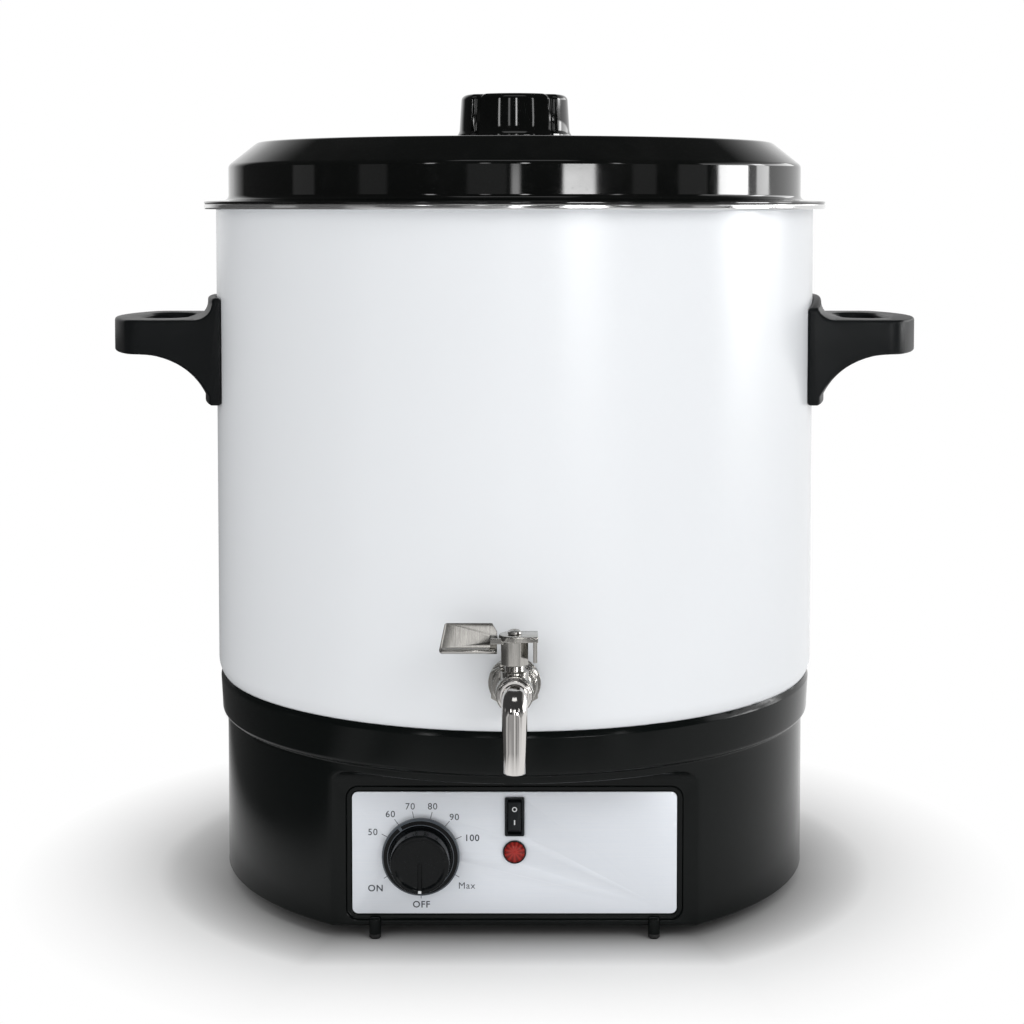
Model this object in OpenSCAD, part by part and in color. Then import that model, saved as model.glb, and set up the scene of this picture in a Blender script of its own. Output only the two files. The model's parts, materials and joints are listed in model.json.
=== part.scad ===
// Electric candle wax melter: an enamelled pot with a lid, two side handles and a lever tap,
// standing in a moulded heating base with a control panel.
// The origin is on the floor under the pot's axis. The panel faces -Y, +X is to the right of
// someone at the panel, and +Z is up. Lengths are in millimetres and angles in degrees.

/* [Pot] */
// Outside diameter of the pot
pot_d = 350; // [335:1:365]
// Thickness of the pot's enamelled steel
pot_wall = 1.2; // [0.8:0.1:2]
// Height from the pot's underside to the top of its rim trim
pot_h = 279; // [255:1:310]
// Outside radius of the pot's bottom corner
pot_corner_r = 15; // [14:0.5:17]
// Outside radius of the flare under the pot's rim
rim_flare_r = 4; // [3:0.5:5]
// Reach of the rim past the pot's wall, trim included
rim_w = 7; // [6:0.5:9]
// Depth of the bead at the rim's outer edge
rim_bead = 1.8; // [1.5:0.1:2.4]
// Thickness of the stainless rim trim
trim_t = 0.6; // [0.4:0.1:0.8]

/* [Base shell] */
// Clear height of the base above the floor
base_lift = 6.5; // [5:0.5:10]
// Height of the base, from its lower edge to its lip round the pot
base_h = 113.8; // [110:0.2:130]
// Depth of the pot's underside below the base's lip
pot_sink = 6.8; // [6:0.1:7.6]
// Thickness of the moulded wall
base_wall = 3; // [2.4:0.1:3.6]
// Width of the shelf under the pot's corner
shelf_w = 12; // [9:0.5:16]
// Distance of the top band's widest edge inside the pot's wall
band_inset = 1.1; // [0.8:0.1:1.4]
// Height of the bevel at the band's upper edge
band_bevel_h = 3.3; // [2.5:0.1:4]
// Height of the straight part of the band
band_h = 13.5; // [10:0.5:18]
// Draft of the band, its radius lost from top to bottom
band_draft = 0.7; // [0.4:0.1:1]
// Height of the rounded lower edge of the band
band_round_h = 8; // [6:0.5:10]
// Step in from the band to the round wall
band_step = 3.2; // [2:0.1:4]
// Distance of the flat front inside the pot's wall
front_inset = 36; // [31:1:40]
// Height of the flat front, from the lower edge to the ledge over it
front_h = 85.5; // [82:0.5:87]
// Radius of the cove between the flat front and the ledge
front_cove_r = 8; // [4:0.5:9]
// Radius of each screw boss inside the shell
boss_r = 5.5; // [4.5:0.5:6]
// Height of each screw boss
boss_h = 18; // [14:1:24]

/* [Feet] */
// Radius of each moulded leg
leg_r = 3.2; // [2.8:0.1:4]
// Height of the rounded top of a front leg above the base's lower edge
leg_blend_h = 4.9; // [3:0.1:8]
// Height of each rubber tip
tip_h = 2.6; // [2:0.1:3.5]
// Distance of the front legs from the middle of the panel
leg_x = 74.6; // [60:0.2:85]
// Angle of the rear legs from the right-hand side
leg_angle = 58; // [45:1:70]

/* [Base plate] */
// Thickness of the steel plate that closes the base
base_plate_t = 1; // [0.8:0.1:1.5]
// Height of the plate above the base's lower edge
base_plate_up = 8; // [7.5:0.5:11]
// Number of cooling slots in the plate
vent_count = 20; // [12:2:28]
// Length of each cooling slot
vent_l = 26; // [16:1:32]
// Width of each cooling slot
vent_w = 4; // [3:0.5:5]
// Distance of the slots' middles from the pot's axis
vent_ring_r = 105; // [95:1:112]

/* [Control panel] */
// Width of the control plate
plate_w = 173.6; // [165:0.2:178]
// Height of the control plate
plate_h = 66; // [62:0.5:68]
// Thickness of the control plate
plate_t = 1; // [0.8:0.1:1.2]
// Radius of the control plate's corners
plate_corner_r = 3.2; // [2:0.2:5]
// Height of the plate's middle above the base's lower edge
plate_up = 39.5; // [38:0.5:41]
// Depth of the recess that the plate lies in
recess_depth = 1.6; // [1.4:0.1:1.9]
// Width of the sunk border round the plate
border_w = 3; // [2:0.5:4]
// Depth of the sunk border
border_depth = 0.7; // [0.4:0.1:0.9]
// Distance of the dial's axis from the middle of the plate
dial_x = 50; // [46:1:54]
// Drop of the dial's axis below the middle of the plate
dial_drop = 1; // [0:0.5:3]
// Rise of the rocker switch above the middle of the plate
switch_rise = 19.7; // [18:0.1:20.5]
// Rise of the pilot light above the middle of the plate
pilot_rise = 0.6; // [-2:0.1:1.5]

/* [Dial and thermostat] */
// Diameter of the dial's skirt
dial_skirt_d = 41.8; // [38:0.2:44]
// Diameter of the dial's grip at its face
dial_grip_d = 31; // [27:0.5:33]
// Diameter of the dial's grip at the skirt
dial_grip_root_d = 33; // [33:0.5:35]
// Thickness of the skirt
dial_skirt_t = 3; // [2.4:0.1:4]
// Length of the dial from the back of its skirt to its face
dial_h = 15.5; // [14:0.5:19]
// Gap between the dial's skirt and the control plate
dial_gap = 2.6; // [2.4:0.1:4]
// Width of the pointer groove in the dial's face
pointer_w = 2; // [1.4:0.1:2.6]
// Depth of the pointer groove
pointer_depth = 0.8; // [0.5:0.1:1.2]
// Radius of the thermostat's spindle
spindle_r = 3; // [2.6:0.1:3.4]
// Radius of the thermostat's collar
collar_r = 5; // [4.6:0.1:5.6]
// Width and height of the thermostat's case
thermostat_w = 36; // [34:1:42]
// Depth of the thermostat's case
thermostat_depth = 22; // [18:1:28]
// Distance of each thermostat screw from the spindle
thermostat_screw_x = 14; // [12:0.5:15]
// Radius of the thermostat's sensing bulb
bulb_r = 3; // [2.5:0.1:3.5]
// Length of the sensing bulb
bulb_l = 60; // [50:1:80]
// Radius of the capillary tube
capillary_r = 0.8; // [0.6:0.1:1]

/* [Rocker switch] */
// Width of the switch's bezel
switch_w = 10.4; // [10:0.1:11.5]
// Height of the switch's bezel
switch_h = 21; // [20.4:0.1:21.6]
// Thickness of the bezel in front of the plate
bezel_t = 1.2; // [0.8:0.1:1.6]
// Depth of the switch's case behind the plate
switch_depth = 16; // [14:0.5:20]
// Width of the rocker
rocker_w = 7; // [6.6:0.1:7.2]
// Height of the rocker
rocker_h = 18; // [17:0.1:18.2]
// Angle between the rocker's two positions
rocker_angle = 20; // [16:1:24]
// Radius of the rocker's trunnions
trunnion_r = 1.2; // [1:0.1:1.4]

/* [Pilot light] */
// Diameter of the pilot light's rim
pilot_d = 12.4; // [12:0.1:13]
// Diameter of the red lens
lens_d = 11.2; // [10.8:0.1:11.4]
// Rise of the lens past its rim
lens_rise = 1.4; // [1:0.1:2]
// Radius of the pilot light's barrel
barrel_r = 5; // [4.6:0.1:5.2]
// Length of the barrel behind the plate
barrel_l = 22; // [18:1:28]

/* [Heating] */
// Radius of the aluminium heating plate
heater_r = 95; // [90:1:110]
// Thickness of the heating plate
heater_t = 4; // [3:0.5:6]
// Radius of the heating tube's ring
element_ring_r = 74; // [66:1:80]
// Radius of the heating tube
element_r = 4.2; // [3.5:0.1:4.5]
// Angle that the heating tube runs through
element_sweep = 300; // [270:5:315]
// Length of the tube's cold ends below the ring
element_tail = 4; // [2:0.5:5]
// Bend radius of the tube's cold ends
element_bend = 6; // [5:0.5:7]
// Radius lost where the tube's cold ends bend down
element_neck = 0.4; // [0.2:0.1:0.8]
// Radius of the heat shield
shield_r = 130; // [115:1:140]
// Thickness of the heat shield
shield_t = 0.8; // [0.6:0.1:1.2]
// Height of the heat shield's turned-up edge
shield_edge_h = 8; // [5:0.5:12]
// Distance of the heat shield below the heating plate
shield_drop = 22; // [20:0.5:24]
// Radius of the centre stud
stud_r = 4; // [3:0.5:5]
// Distance of the safety cut-out behind the centre stud
cutout_y = 42; // [36:1:50]
// Radius of the safety cut-out
cutout_r = 8; // [6:0.5:9]
// Distance of the terminal block behind the pot's axis
terminal_y = 80; // [70:1:100]
// Length of the terminal block
terminal_l = 34; // [32:1:44]
// Width of the terminal block
terminal_w = 18; // [16:1:24]
// Height of the terminal block
terminal_h = 14; // [12:1:18]

/* [Cord inlet] */
// Radius of the cord gland's bore
gland_bore_r = 3.8; // [3.2:0.1:4.2]
// Radius of the gland's thread
gland_r = 7.5; // [6.5:0.1:8]
// Height of the gland above the base's lower edge
gland_up = 28; // [25:1:45]
// Length of the gland outside the base
gland_out = 9; // [7:0.5:12]

/* [Lid] */
// Height of the lid from its flange to the foot of its knob
lid_h = 39.5; // [34:0.5:46]
// Thickness of the lid
lid_wall = 1.5; // [1.2:0.1:2]
// Distance of the lid's upright side inside the rim's edge
lid_side_inset = 14.2; // [12:0.2:17]
// Height of the lid's flange up to the foot of its side
lid_flange_h = 4; // [3:0.5:5]
// Height of the lid's upright side
lid_side_h = 18.2; // [14:0.2:20]
// Width of the lid's sloping shoulder
lid_shoulder_w = 16.8; // [12:0.2:20]
// Height of the lid's sloping shoulder
lid_shoulder_h = 13.3; // [10:0.1:14]
// Depth of the locating skirt inside the pot
lid_skirt_h = 8; // [5:0.5:12]
// Gap between the locating skirt and the pot's wall
lid_skirt_gap = 1; // [0.7:0.1:2]

/* [Lid knob] */
// Diameter of the lid's knob
knob_d = 64; // [58:1:70]
// Height of the knob
knob_h = 25; // [22:0.5:30]
// Reach of the knob's foot past its side
knob_foot = 1.6; // [1:0.1:2.4]
// Radius of the knob's top edge
knob_edge_r = 3.5; // [2:0.5:4]
// Number of finger flutes round the knob
flute_count = 4; // [4:1:6]
// Radius of each finger flute
flute_r = 3.5; // [3:0.5:5]
// Depth of each finger flute
flute_depth = 3; // [2:0.5:4]

/* [Handles] */
// Reach of each handle past the pot's wall
handle_reach = 60.5; // [56:0.5:68]
// Width of each handle along the pot
handle_w = 109; // [100:1:118]
// Thickness of the grip at its outer end
handle_t = 19.6; // [16:0.2:24]
// Distance of the grip's top below the rim's top
handle_drop = 66; // [60:0.5:80]
// Radius of the arch under the handle
handle_arch_r = 42.4; // [39:0.2:44]
// Radius of the curve at the grip's outer end
handle_end_r = 100; // [85:1:130]
// Radius of the grip's outer corners
handle_corner_r = 12; // [8:1:16]
// Thickness of the mounting pad against the pot
pad_t = 4.8; // [4:0.1:6]
// Rise of the pad above the grip's top
pad_rise = 12.5; // [11:0.5:15]
// Height of the crown in the pad's top edge
pad_crown = 6; // [3:0.5:8]
// Radius of the cove between the pad and the grip's top
pad_cove_r = 10; // [6:0.5:11]
// Thickness of the pad's foot
foot_pad_t = 6.8; // [6.5:0.1:8]
// Depth of the pad's foot below the arch
foot_pad_h = 5; // [3:0.5:8]
// Width of the finger hole, away from the pot
finger_w = 26; // [22:0.5:28]
// Length of the finger hole, along the pot
finger_l = 63; // [52:1:72]
// Thickness of the grip outside the finger hole
grip_w = 17.5; // [15:0.5:20]
// Angle of each handle screw from the handle's middle
handle_screw_angle = 12; // [10:0.5:14]
// Radius of the handle screws
handle_screw_r = 2.5; // [2:0.1:3]
// Length of the handle screws
handle_screw_l = 14; // [12:0.5:14.5]
// Radius of the handle screws' heads
handle_head_r = 4.6; // [4.2:0.1:5]
// Height of the handle screws' heads
handle_head_h = 2.6; // [2:0.1:3.2]
// Thickness of the seal under each screw's head
handle_seal_t = 1.4; // [1:0.1:1.4]

/* [Tap] */
// Height of the tap's axis above the pot's underside
tap_up = 33.5; // [30:0.5:40]
// Radius of the tap's threaded shank
shank_r = 8; // [7:0.1:9]
// Radius of the waterway through the tap
waterway_r = 3.2; // [2.8:0.1:3.6]
// Radius of the valve's ball
ball_r = 6.5; // [6:0.1:7]
// Radius of the round valve chamber
chamber_r = 9.5; // [9.3:0.1:10.5]
// Distance of the valve's stem from the pot's wall
stem_out = 22; // [21:0.5:26]
// Distance of the spout from the valve's stem
spout_out = 16; // [15.5:0.5:19]
// Radius of the spout at its elbow
spout_r = 6.6; // [6.2:0.1:7]
// Radius of the spout at its end
spout_end_r = 5.6; // [5.2:0.1:6]
// Drop of the spout's end below the tap's axis
spout_drop = 37.5; // [30:0.5:42]
// Radius of the valve's stem
stem_r = 2.6; // [2.2:0.1:3]
// Rise of the lever's top above the tap's axis
lever_up = 29.3; // [28:0.1:33]
// Reach of the lever from the stem
lever_reach = 38; // [34:0.5:46]
// Height of the lever's paddle, measured across its face
paddle_h = 16; // [14:0.5:18]
// Thickness of the lever's paddle
paddle_t = 2; // [1.6:0.1:2.4]
// Angle that the paddle leans back
paddle_lean = 32; // [20:1:40]

/* [Hidden] */
$fn = 96;
touch = 0.05;        // running clearance, on the radius
seat_gap = 0.2;      // gap between moulded or pressed parts that seat on each other
free_gap = 0.3;      // gap between curved faces that move past each other
eps = 0.01;          // how far a cut runs past the face that it opens
far = 400;           // longer than any part, for cuts that go right through

pot_r = pot_d / 2;
front_dist = pot_r - front_inset;
inner_r = pot_r - pot_wall;
base_z = base_lift;
lip_z = base_z + base_h;
pot_z = lip_z - pot_sink;
rim_z = pot_z + pot_h;
rim_r = pot_r + rim_w;
flange_z = rim_z - trim_t;
corner_x = pot_r - pot_corner_r;
corner_z = pot_z + pot_corner_r;
floor_z = pot_z + pot_wall;

seal_t = 1.5;
shelf_z = pot_z - seal_t;
nest_r = pot_corner_r + free_gap;
lip_r = corner_x + sqrt(pow(nest_r, 2) - pow(corner_z - lip_z, 2));
shelf_out_r = corner_x - 0.5;
shelf_in_r = shelf_out_r - shelf_w;
band_r = pot_r - band_inset;
band_low_r = band_r - band_draft;
band_low_z = lip_z - band_bevel_h - band_h;
body_r = band_low_r - band_step;
shell_in_r = body_r - base_wall;
front_z = base_z + front_h;
boss_at_r = shell_in_r - boss_r + 1.5;
boss_angles = [40, 140, 220, 320];
base_plate_z = base_z + base_plate_up;
base_screw_r = 1.5;
leg_tip_z = tip_h;

panel_z = base_z + plate_up;
plate_back_y = -front_dist + recess_depth;
plate_face_y = plate_back_y - plate_t;
wall_back_y = -front_dist + base_wall;
dial_z = panel_z - dial_drop;
switch_z = panel_z + switch_rise;
pilot_z = panel_z + pilot_rise;
case_r = switch_w / 2 - 0.5;

heater_z = pot_z - heater_t;
element_z = heater_z - element_r - touch;
shield_z = heater_z - shield_drop;
nut_af = 13;
nut_h = 6.5;
gland_z = base_z + gland_up;
gland_pad = 13;
gland_face_y = body_r + 1.2;

side_r = rim_r - lid_side_inset;
side_z = rim_z + lid_flange_h;
shoulder_z = side_z + lid_side_h;
crown_r = side_r - lid_shoulder_w;
crown_z = shoulder_z + lid_shoulder_h;
knob_z = rim_z + lid_h;
knob_r = knob_d / 2;
skirt_r = inner_r - lid_skirt_gap;
lid_screw_r = 2;

grip_z = rim_z - handle_drop;
grip_end_x = pot_r + handle_reach;
arch_z = grip_z - handle_t - handle_arch_r;
arch_x = pot_r + foot_pad_t + sqrt(pow(handle_arch_r, 2) - pow(handle_arch_r * 0.43, 2));
foot_z = arch_z + handle_arch_r * 0.43;
pad_r = pot_r + seat_gap;
screw_z = grip_z - handle_t / 2 - 4;

tap_z = pot_z + tap_up;
stem_y = -(pot_r + stem_out);
spout_y = stem_y - spout_out;
lever_z = tap_z + lever_up;
lever_t = 3;
bonnet_z = tap_z + chamber_r + 4.2;
boss_z = bonnet_z + free_gap;
gasket_t = 2;
washer_t = 1.2;
hex_l = 4.8;
hex_af = 3 * shank_r;
nut_l = 6;
chamber_half = ball_r + 1.4;
chamber_in = stem_out - chamber_half;
chamber_out = stem_out + chamber_half;

function arc(x, y, r, a0, a1, n) = [for (i = [0:n]) let (a = a0 + (a1 - a0) * i / n)
    [x + r * cos(a), y + r * sin(a)]];

// A cylinder that points away from the pot, towards the front
module forward(x, y, z, r, h, r2 = -1) {
    translate([x, y, z]) rotate([90, 0, 0]) cylinder(r1 = r, r2 = r2 < 0 ? r : r2, h = h);
}

// A cylinder that points along +X
module sideways(x, y, z, r, h) {
    translate([x, y, z]) rotate([0, 90, 0]) cylinder(r = r, h = h);
}

// A hexagonal bar of a given width across its flats
module hex(af, h) {
    cylinder(r = af / 2 / cos(30), h = h, $fn = 6);
}

// A flat rectangle with round corners, centred
module round_rect(w, h, r) {
    square([w - 2 * r, h], center = true);
    square([w, h - 2 * r], center = true);
    for (x = [-1, 1], y = [-1, 1]) translate([x * (w / 2 - r), y * (h / 2 - r)]) circle(r);
}

// A round-cornered block that stands on the panel's plane y and reaches forward by t
module panel_block(x, y, z, w, h, r, t) {
    translate([x, y, z]) rotate([90, 0, 0]) linear_extrude(t) round_rect(w, h, r);
}

// ---------------------------------------------------------------- base

// The region in front of a flat front at distance d, under a ledge at height z
module front_region(d, z, cove_r) {
    translate([-far, 0, 0]) rotate([90, 0, 90]) linear_extrude(2 * far) difference() {
        translate([-far - d, -eps]) square([far, z + eps]);
        difference() {
            translate([-d - cove_r, z - cove_r]) square(cove_r + eps);
            translate([-d - cove_r, z - cove_r]) circle(cove_r);
        }
    }
}

module base_outline() {
    rotate_extrude() polygon(concat(
        [[0, base_z], [body_r, base_z]],
        [for (t = [0:15:90]) [body_r + band_step * sin(t),
            band_low_z - band_round_h * cos(t)]],
        [[band_r, lip_z - band_bevel_h], [lip_r, lip_z], [0, lip_z]]));
}

module base_hollow() {
    difference() {
        rotate_extrude() {
            difference() {
                translate([0, shelf_z]) square([lip_r, lip_z - shelf_z + eps]);
                difference() {
                    translate([corner_x, pot_z - 1]) square([far, far]);
                    translate([corner_x, corner_z]) circle(nest_r);
                }
                translate([shelf_out_r, shelf_z - eps]) square([far, seal_t]);
            }
            translate([0, base_z - eps]) square([shell_in_r, shelf_z - base_wall - base_z + eps]);
            translate([0, shelf_z - base_wall - eps]) square([shelf_in_r, base_wall + 2 * eps]);
        }
        intersection() {
            front_block = front_z + base_wall;
            translate([-far, -far - front_dist + base_wall, 0]) cube([2 * far, far, front_block]);
        }
    }
}

module boss_columns() {
    for (a = boss_angles) rotate(a) translate([boss_at_r, 0, base_plate_z + base_plate_t])
        cylinder(r = boss_r, h = boss_h);
}

module front_legs() {
    for (x = [-leg_x, leg_x]) translate([x, -front_dist, leg_tip_z]) {
        cylinder(r = leg_r, h = base_z + leg_blend_h - leg_tip_z);
        translate([0, 0, base_z + leg_blend_h - leg_tip_z]) sphere(leg_r);
    }
}

module rear_legs() {
    for (a = [leg_angle, 180 - leg_angle]) rotate(a) translate([body_r - base_wall, 0, leg_tip_z])
        cylinder(r = leg_r, h = base_z + base_wall - leg_tip_z);
}

module base_shell() {
    color([0.03, 0.03, 0.035]) difference() {
        union() {
            difference() {
                base_outline();
                front_region(front_dist, front_z, front_cove_r);
                base_hollow();
            }
            intersection() {
                boss_columns();
                cylinder(r = body_r - 1, h = far);
            }
            front_legs();
            rear_legs();
            translate([-gland_pad, shell_in_r - 2, gland_z - gland_pad])
                cube([2 * gland_pad, gland_face_y - shell_in_r + 2, 2 * gland_pad]);
        }
        panel_block(0, -front_dist + border_depth, panel_z, plate_w + 2 * border_w,
            plate_h + 2 * border_w, plate_corner_r + border_w, far);
        panel_block(0, plate_back_y, panel_z, plate_w + 2 * seat_gap, plate_h + 2 * seat_gap,
            plate_corner_r + seat_gap, far);
        forward(-dial_x, wall_back_y + eps, dial_z, collar_r + seat_gap, base_wall);
        for (s = [-1, 1]) forward(-dial_x + s * thermostat_screw_x, wall_back_y + eps, dial_z,
            2.1, base_wall);
        panel_block(0, wall_back_y + eps, switch_z, switch_w - 0.8, switch_h - 0.8, 0.5,
            base_wall);
        forward(0, wall_back_y + eps, pilot_z, barrel_r + seat_gap, base_wall);
        for (a = boss_angles) rotate(a) translate([boss_at_r, 0, base_plate_z])
            cylinder(r = base_screw_r + 0.1, h = boss_h - 2);
        translate([0, shell_in_r - 3, gland_z]) rotate([-90, 0, 0])
            cylinder(r = gland_r + seat_gap, h = base_wall + 6);
        for (x = [-leg_x, leg_x]) translate([x, -front_dist, 0])
            cylinder(r = 1.4, h = leg_tip_z + 3);
        for (a = [leg_angle, 180 - leg_angle]) rotate(a) translate([body_r - base_wall, 0, 0])
            cylinder(r = 1.4, h = leg_tip_z + 3);
    }
}

module foot_tip() {
    rotate_extrude() polygon([[0, 0], [leg_r - 0.8, 0], [leg_r, 0.8], [leg_r, tip_h],
        [1.3, tip_h], [1.3, tip_h + 2.8], [0, tip_h + 2.8]]);
}

module foot_tips() {
    color([0.04, 0.04, 0.04]) {
        for (x = [-leg_x, leg_x]) translate([x, -front_dist, 0]) foot_tip();
        for (a = [leg_angle, 180 - leg_angle]) rotate(a) translate([body_r - base_wall, 0, 0])
            foot_tip();
    }
}

module base_plate() {
    color([0.6, 0.61, 0.62]) translate([0, 0, base_plate_z]) difference() {
        intersection() {
            cylinder(r = shell_in_r - 0.5, h = base_plate_t);
            translate([-far, wall_back_y + 0.5, 0]) cube([2 * far, 2 * far, base_plate_t]);
        }
        translate([0, 0, -eps]) {
            cylinder(r = stud_r + 0.4, h = far);
            for (a = boss_angles) rotate(a) translate([boss_at_r, 0, 0])
                cylinder(r = base_screw_r + 0.4, h = far);
            for (i = [0:vent_count - 1]) rotate((i + 0.5) * 360 / vent_count)
                translate([vent_ring_r, 0, 0]) linear_extrude(far)
                    round_rect(vent_l, vent_w, vent_w / 2 - eps);
        }
    }
}

// A pan-head screw along +Z, its head below z = 0
module pan_screw(r, l, head_r, head_h) {
    cylinder(r = r, h = l);
    translate([0, 0, -head_h]) difference() {
        union() {
            translate([0, 0, head_h * 0.4]) cylinder(r = head_r, h = head_h * 0.6);
            cylinder(r1 = head_r * 0.7, r2 = head_r, h = head_h * 0.4);
        }
        translate([0, 0, -eps]) {
            translate([-head_r * 0.55, -head_r * 0.12, 0])
                cube([head_r * 1.1, head_r * 0.24, head_h * 0.5]);
            translate([-head_r * 0.12, -head_r * 0.55, 0])
                cube([head_r * 0.24, head_r * 1.1, head_h * 0.5]);
        }
    }
}

module base_screws() {
    color([0.7, 0.7, 0.72]) for (a = boss_angles) rotate(a)
        translate([boss_at_r, 0, base_plate_z])
            pan_screw(base_screw_r, base_plate_t + boss_h - 6, 3, 2);
}

// ---------------------------------------------------------------- control panel

module panel_plate() {
    color([0.8, 0.82, 0.85]) difference() {
        panel_block(0, plate_back_y, panel_z, plate_w, plate_h, plate_corner_r, plate_t);
        forward(-dial_x, 0, dial_z, collar_r + seat_gap, far);
        for (s = [-1, 1]) forward(-dial_x + s * thermostat_screw_x, 0, dial_z, 2.1, far);
        panel_block(0, 0, switch_z, switch_w - 0.8, switch_h - 0.8, 0.5, far);
        forward(0, 0, pilot_z, barrel_r + seat_gap, far);
    }
}

module thermostat_body() {
    color([0.75, 0.73, 0.68]) translate([-dial_x, wall_back_y, dial_z]) difference() {
        union() {
            translate([-thermostat_w / 2, 0, -thermostat_w / 2])
                cube([thermostat_w, thermostat_depth, thermostat_w]);
            forward(0, 0, 0, collar_r, base_wall - recess_depth + plate_t);
            for (s = [-1, 1]) translate([s * thermostat_w / 4 - 2.4, thermostat_depth, -9])
                cube([4.8, 7, 0.8]);
        }
        forward(0, 12, 0, spindle_r + touch, far);
        for (s = [-1, 1]) forward(s * thermostat_screw_x, 8, 0, 1.9, far);
    }
}

module thermostat_screws() {
    color([0.7, 0.7, 0.72]) for (s = [-1, 1])
        translate([-dial_x + s * thermostat_screw_x, plate_face_y, dial_z]) rotate([-90, 0, 0])
            pan_screw(1.8, plate_t + base_wall - recess_depth + 6, 3, 1.7);
}

module thermostat_spindle() {
    reach = dial_gap + dial_h - 5;
    color([0.7, 0.7, 0.72]) difference() {
        forward(-dial_x, wall_back_y + 11.5, dial_z, spindle_r,
            11.5 + wall_back_y - plate_face_y + reach);
        translate([-dial_x - far / 2, plate_face_y - reach - eps, dial_z + spindle_r * 0.55])
            cube([far, reach - dial_gap - 1, far]);
    }
}

module thermostat_dial() {
    back_y = plate_face_y - dial_gap;
    skirt_r_out = dial_skirt_d / 2;
    root_r = dial_grip_root_d / 2;
    grip_r = dial_grip_d / 2;
    well_r = root_r - 3;
    color([0.02, 0.02, 0.022]) translate([-dial_x, back_y, dial_z]) difference() {
        rotate([90, 0, 0]) rotate_extrude() polygon(concat(
            [[0, 0], [skirt_r_out - 0.5, 0], [skirt_r_out, 0.5],
                [skirt_r_out - 0.3, dial_skirt_t - 0.6]],
            arc(skirt_r_out - 1.5, dial_skirt_t - 1.2, 1.2, 15, 90, 4),
            [[root_r + 1, dial_skirt_t]],
            arc(root_r + 1, dial_skirt_t + 1, 1, 270, 180, 4),
            arc(grip_r - 1.2, dial_h - 1.2, 1.2, 5, 90, 6),
            [[grip_r * 0.5, dial_h - 0.5], [0, dial_h - 0.5]]));
        difference() {
            forward(0, eps, 0, well_r, dial_h - 4);
            forward(0, 1, 0, spindle_r + 2.5, far);
        }
        difference() {
            forward(0, eps, 0, spindle_r + touch, dial_h - 4.5);
            translate([-far / 2, -dial_h, spindle_r * 0.55 + touch])
                cube([far, dial_h - 2, far]);
        }
        translate([-pointer_w / 2, -dial_h - 1, -far]) cube([pointer_w, pointer_depth + 1.5, far]);
    }
}

module switch_housing() {
    case_w = switch_w - 1;
    case_h = switch_h - 1;
    color([0.03, 0.03, 0.03]) difference() {
        union() {
            panel_block(0, plate_face_y, switch_z, switch_w, switch_h, 0.8, bezel_t);
            panel_block(0, plate_face_y + switch_depth, switch_z, case_w, case_h, 0.4,
                switch_depth);
            for (s = [-1, 1]) translate([-2.4, plate_face_y + switch_depth, switch_z + s * 5])
                cube([4.8, 7, 0.8]);
        }
        panel_block(0, plate_face_y + 8, switch_z, rocker_w + 0.6, switch_h - 2, 0.3, far);
        sideways(-rocker_w / 2 - 1.2, plate_face_y + 2.6, switch_z, trunnion_r + touch,
            rocker_w + 2.4);
    }
}

module switch_rocker() {
    half = rocker_h / 2;
    rise = half * tan(rocker_angle / 2);
    face = 4.2;
    color([0.04, 0.04, 0.04]) translate([0, plate_face_y + 2.6, switch_z])
        rotate([-rocker_angle / 2, 0, 0]) {
            intersection() {
                translate([-rocker_w / 2, 0, 0]) rotate([90, 0, 90]) linear_extrude(rocker_w)
                    polygon([[-face, 0], [-face - rise, half], [1.5, half], [2.6, 3], [2.6, -3],
                        [1.5, -half], [-face - rise, -half]]);
                sideways(-rocker_w, 0, 0, half, 2 * rocker_w);
            }
            sideways(-rocker_w / 2 - 1, 0, 0, trunnion_r, rocker_w + 2);
        }
}

module pilot_housing() {
    color([0.05, 0.03, 0.03]) difference() {
        union() {
            forward(0, plate_face_y, pilot_z, pilot_d / 2, 1.3);
            forward(0, plate_face_y + barrel_l, pilot_z, barrel_r, barrel_l);
            for (s = [-1, 1]) translate([s * 2.4 - 0.4, plate_face_y + barrel_l, pilot_z - 1.4])
                cube([0.8, 5, 2.8]);
        }
        forward(0, plate_face_y + barrel_l - 3, pilot_z, barrel_r - 0.8, far);
        forward(0, plate_face_y - 0.4, pilot_z, lens_d / 2 + touch, far);
    }
}

module pilot_lens() {
    color([0.5, 0.02, 0.02]) translate([0, plate_face_y - 0.4, pilot_z]) difference() {
        rotate([90, 0, 0]) rotate_extrude() polygon(concat([[0, -6], [barrel_r - 1, -6],
            [barrel_r - 1, 0], [lens_d / 2, 0]],
            [for (t = [0:15:90]) [lens_d / 2 * cos(t), 0.9 + lens_rise * sin(t)]]));
        forward(0, 6 + eps, 0, barrel_r - 2, 5);
    }
}

module pilot_clip() {
    color([0.7, 0.7, 0.72]) difference() {
        forward(0, wall_back_y + 1.2, pilot_z, barrel_r + 3, 1.2);
        forward(0, wall_back_y + 2, pilot_z, barrel_r + touch, 3);
    }
}

// ---------------------------------------------------------------- pot

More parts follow.
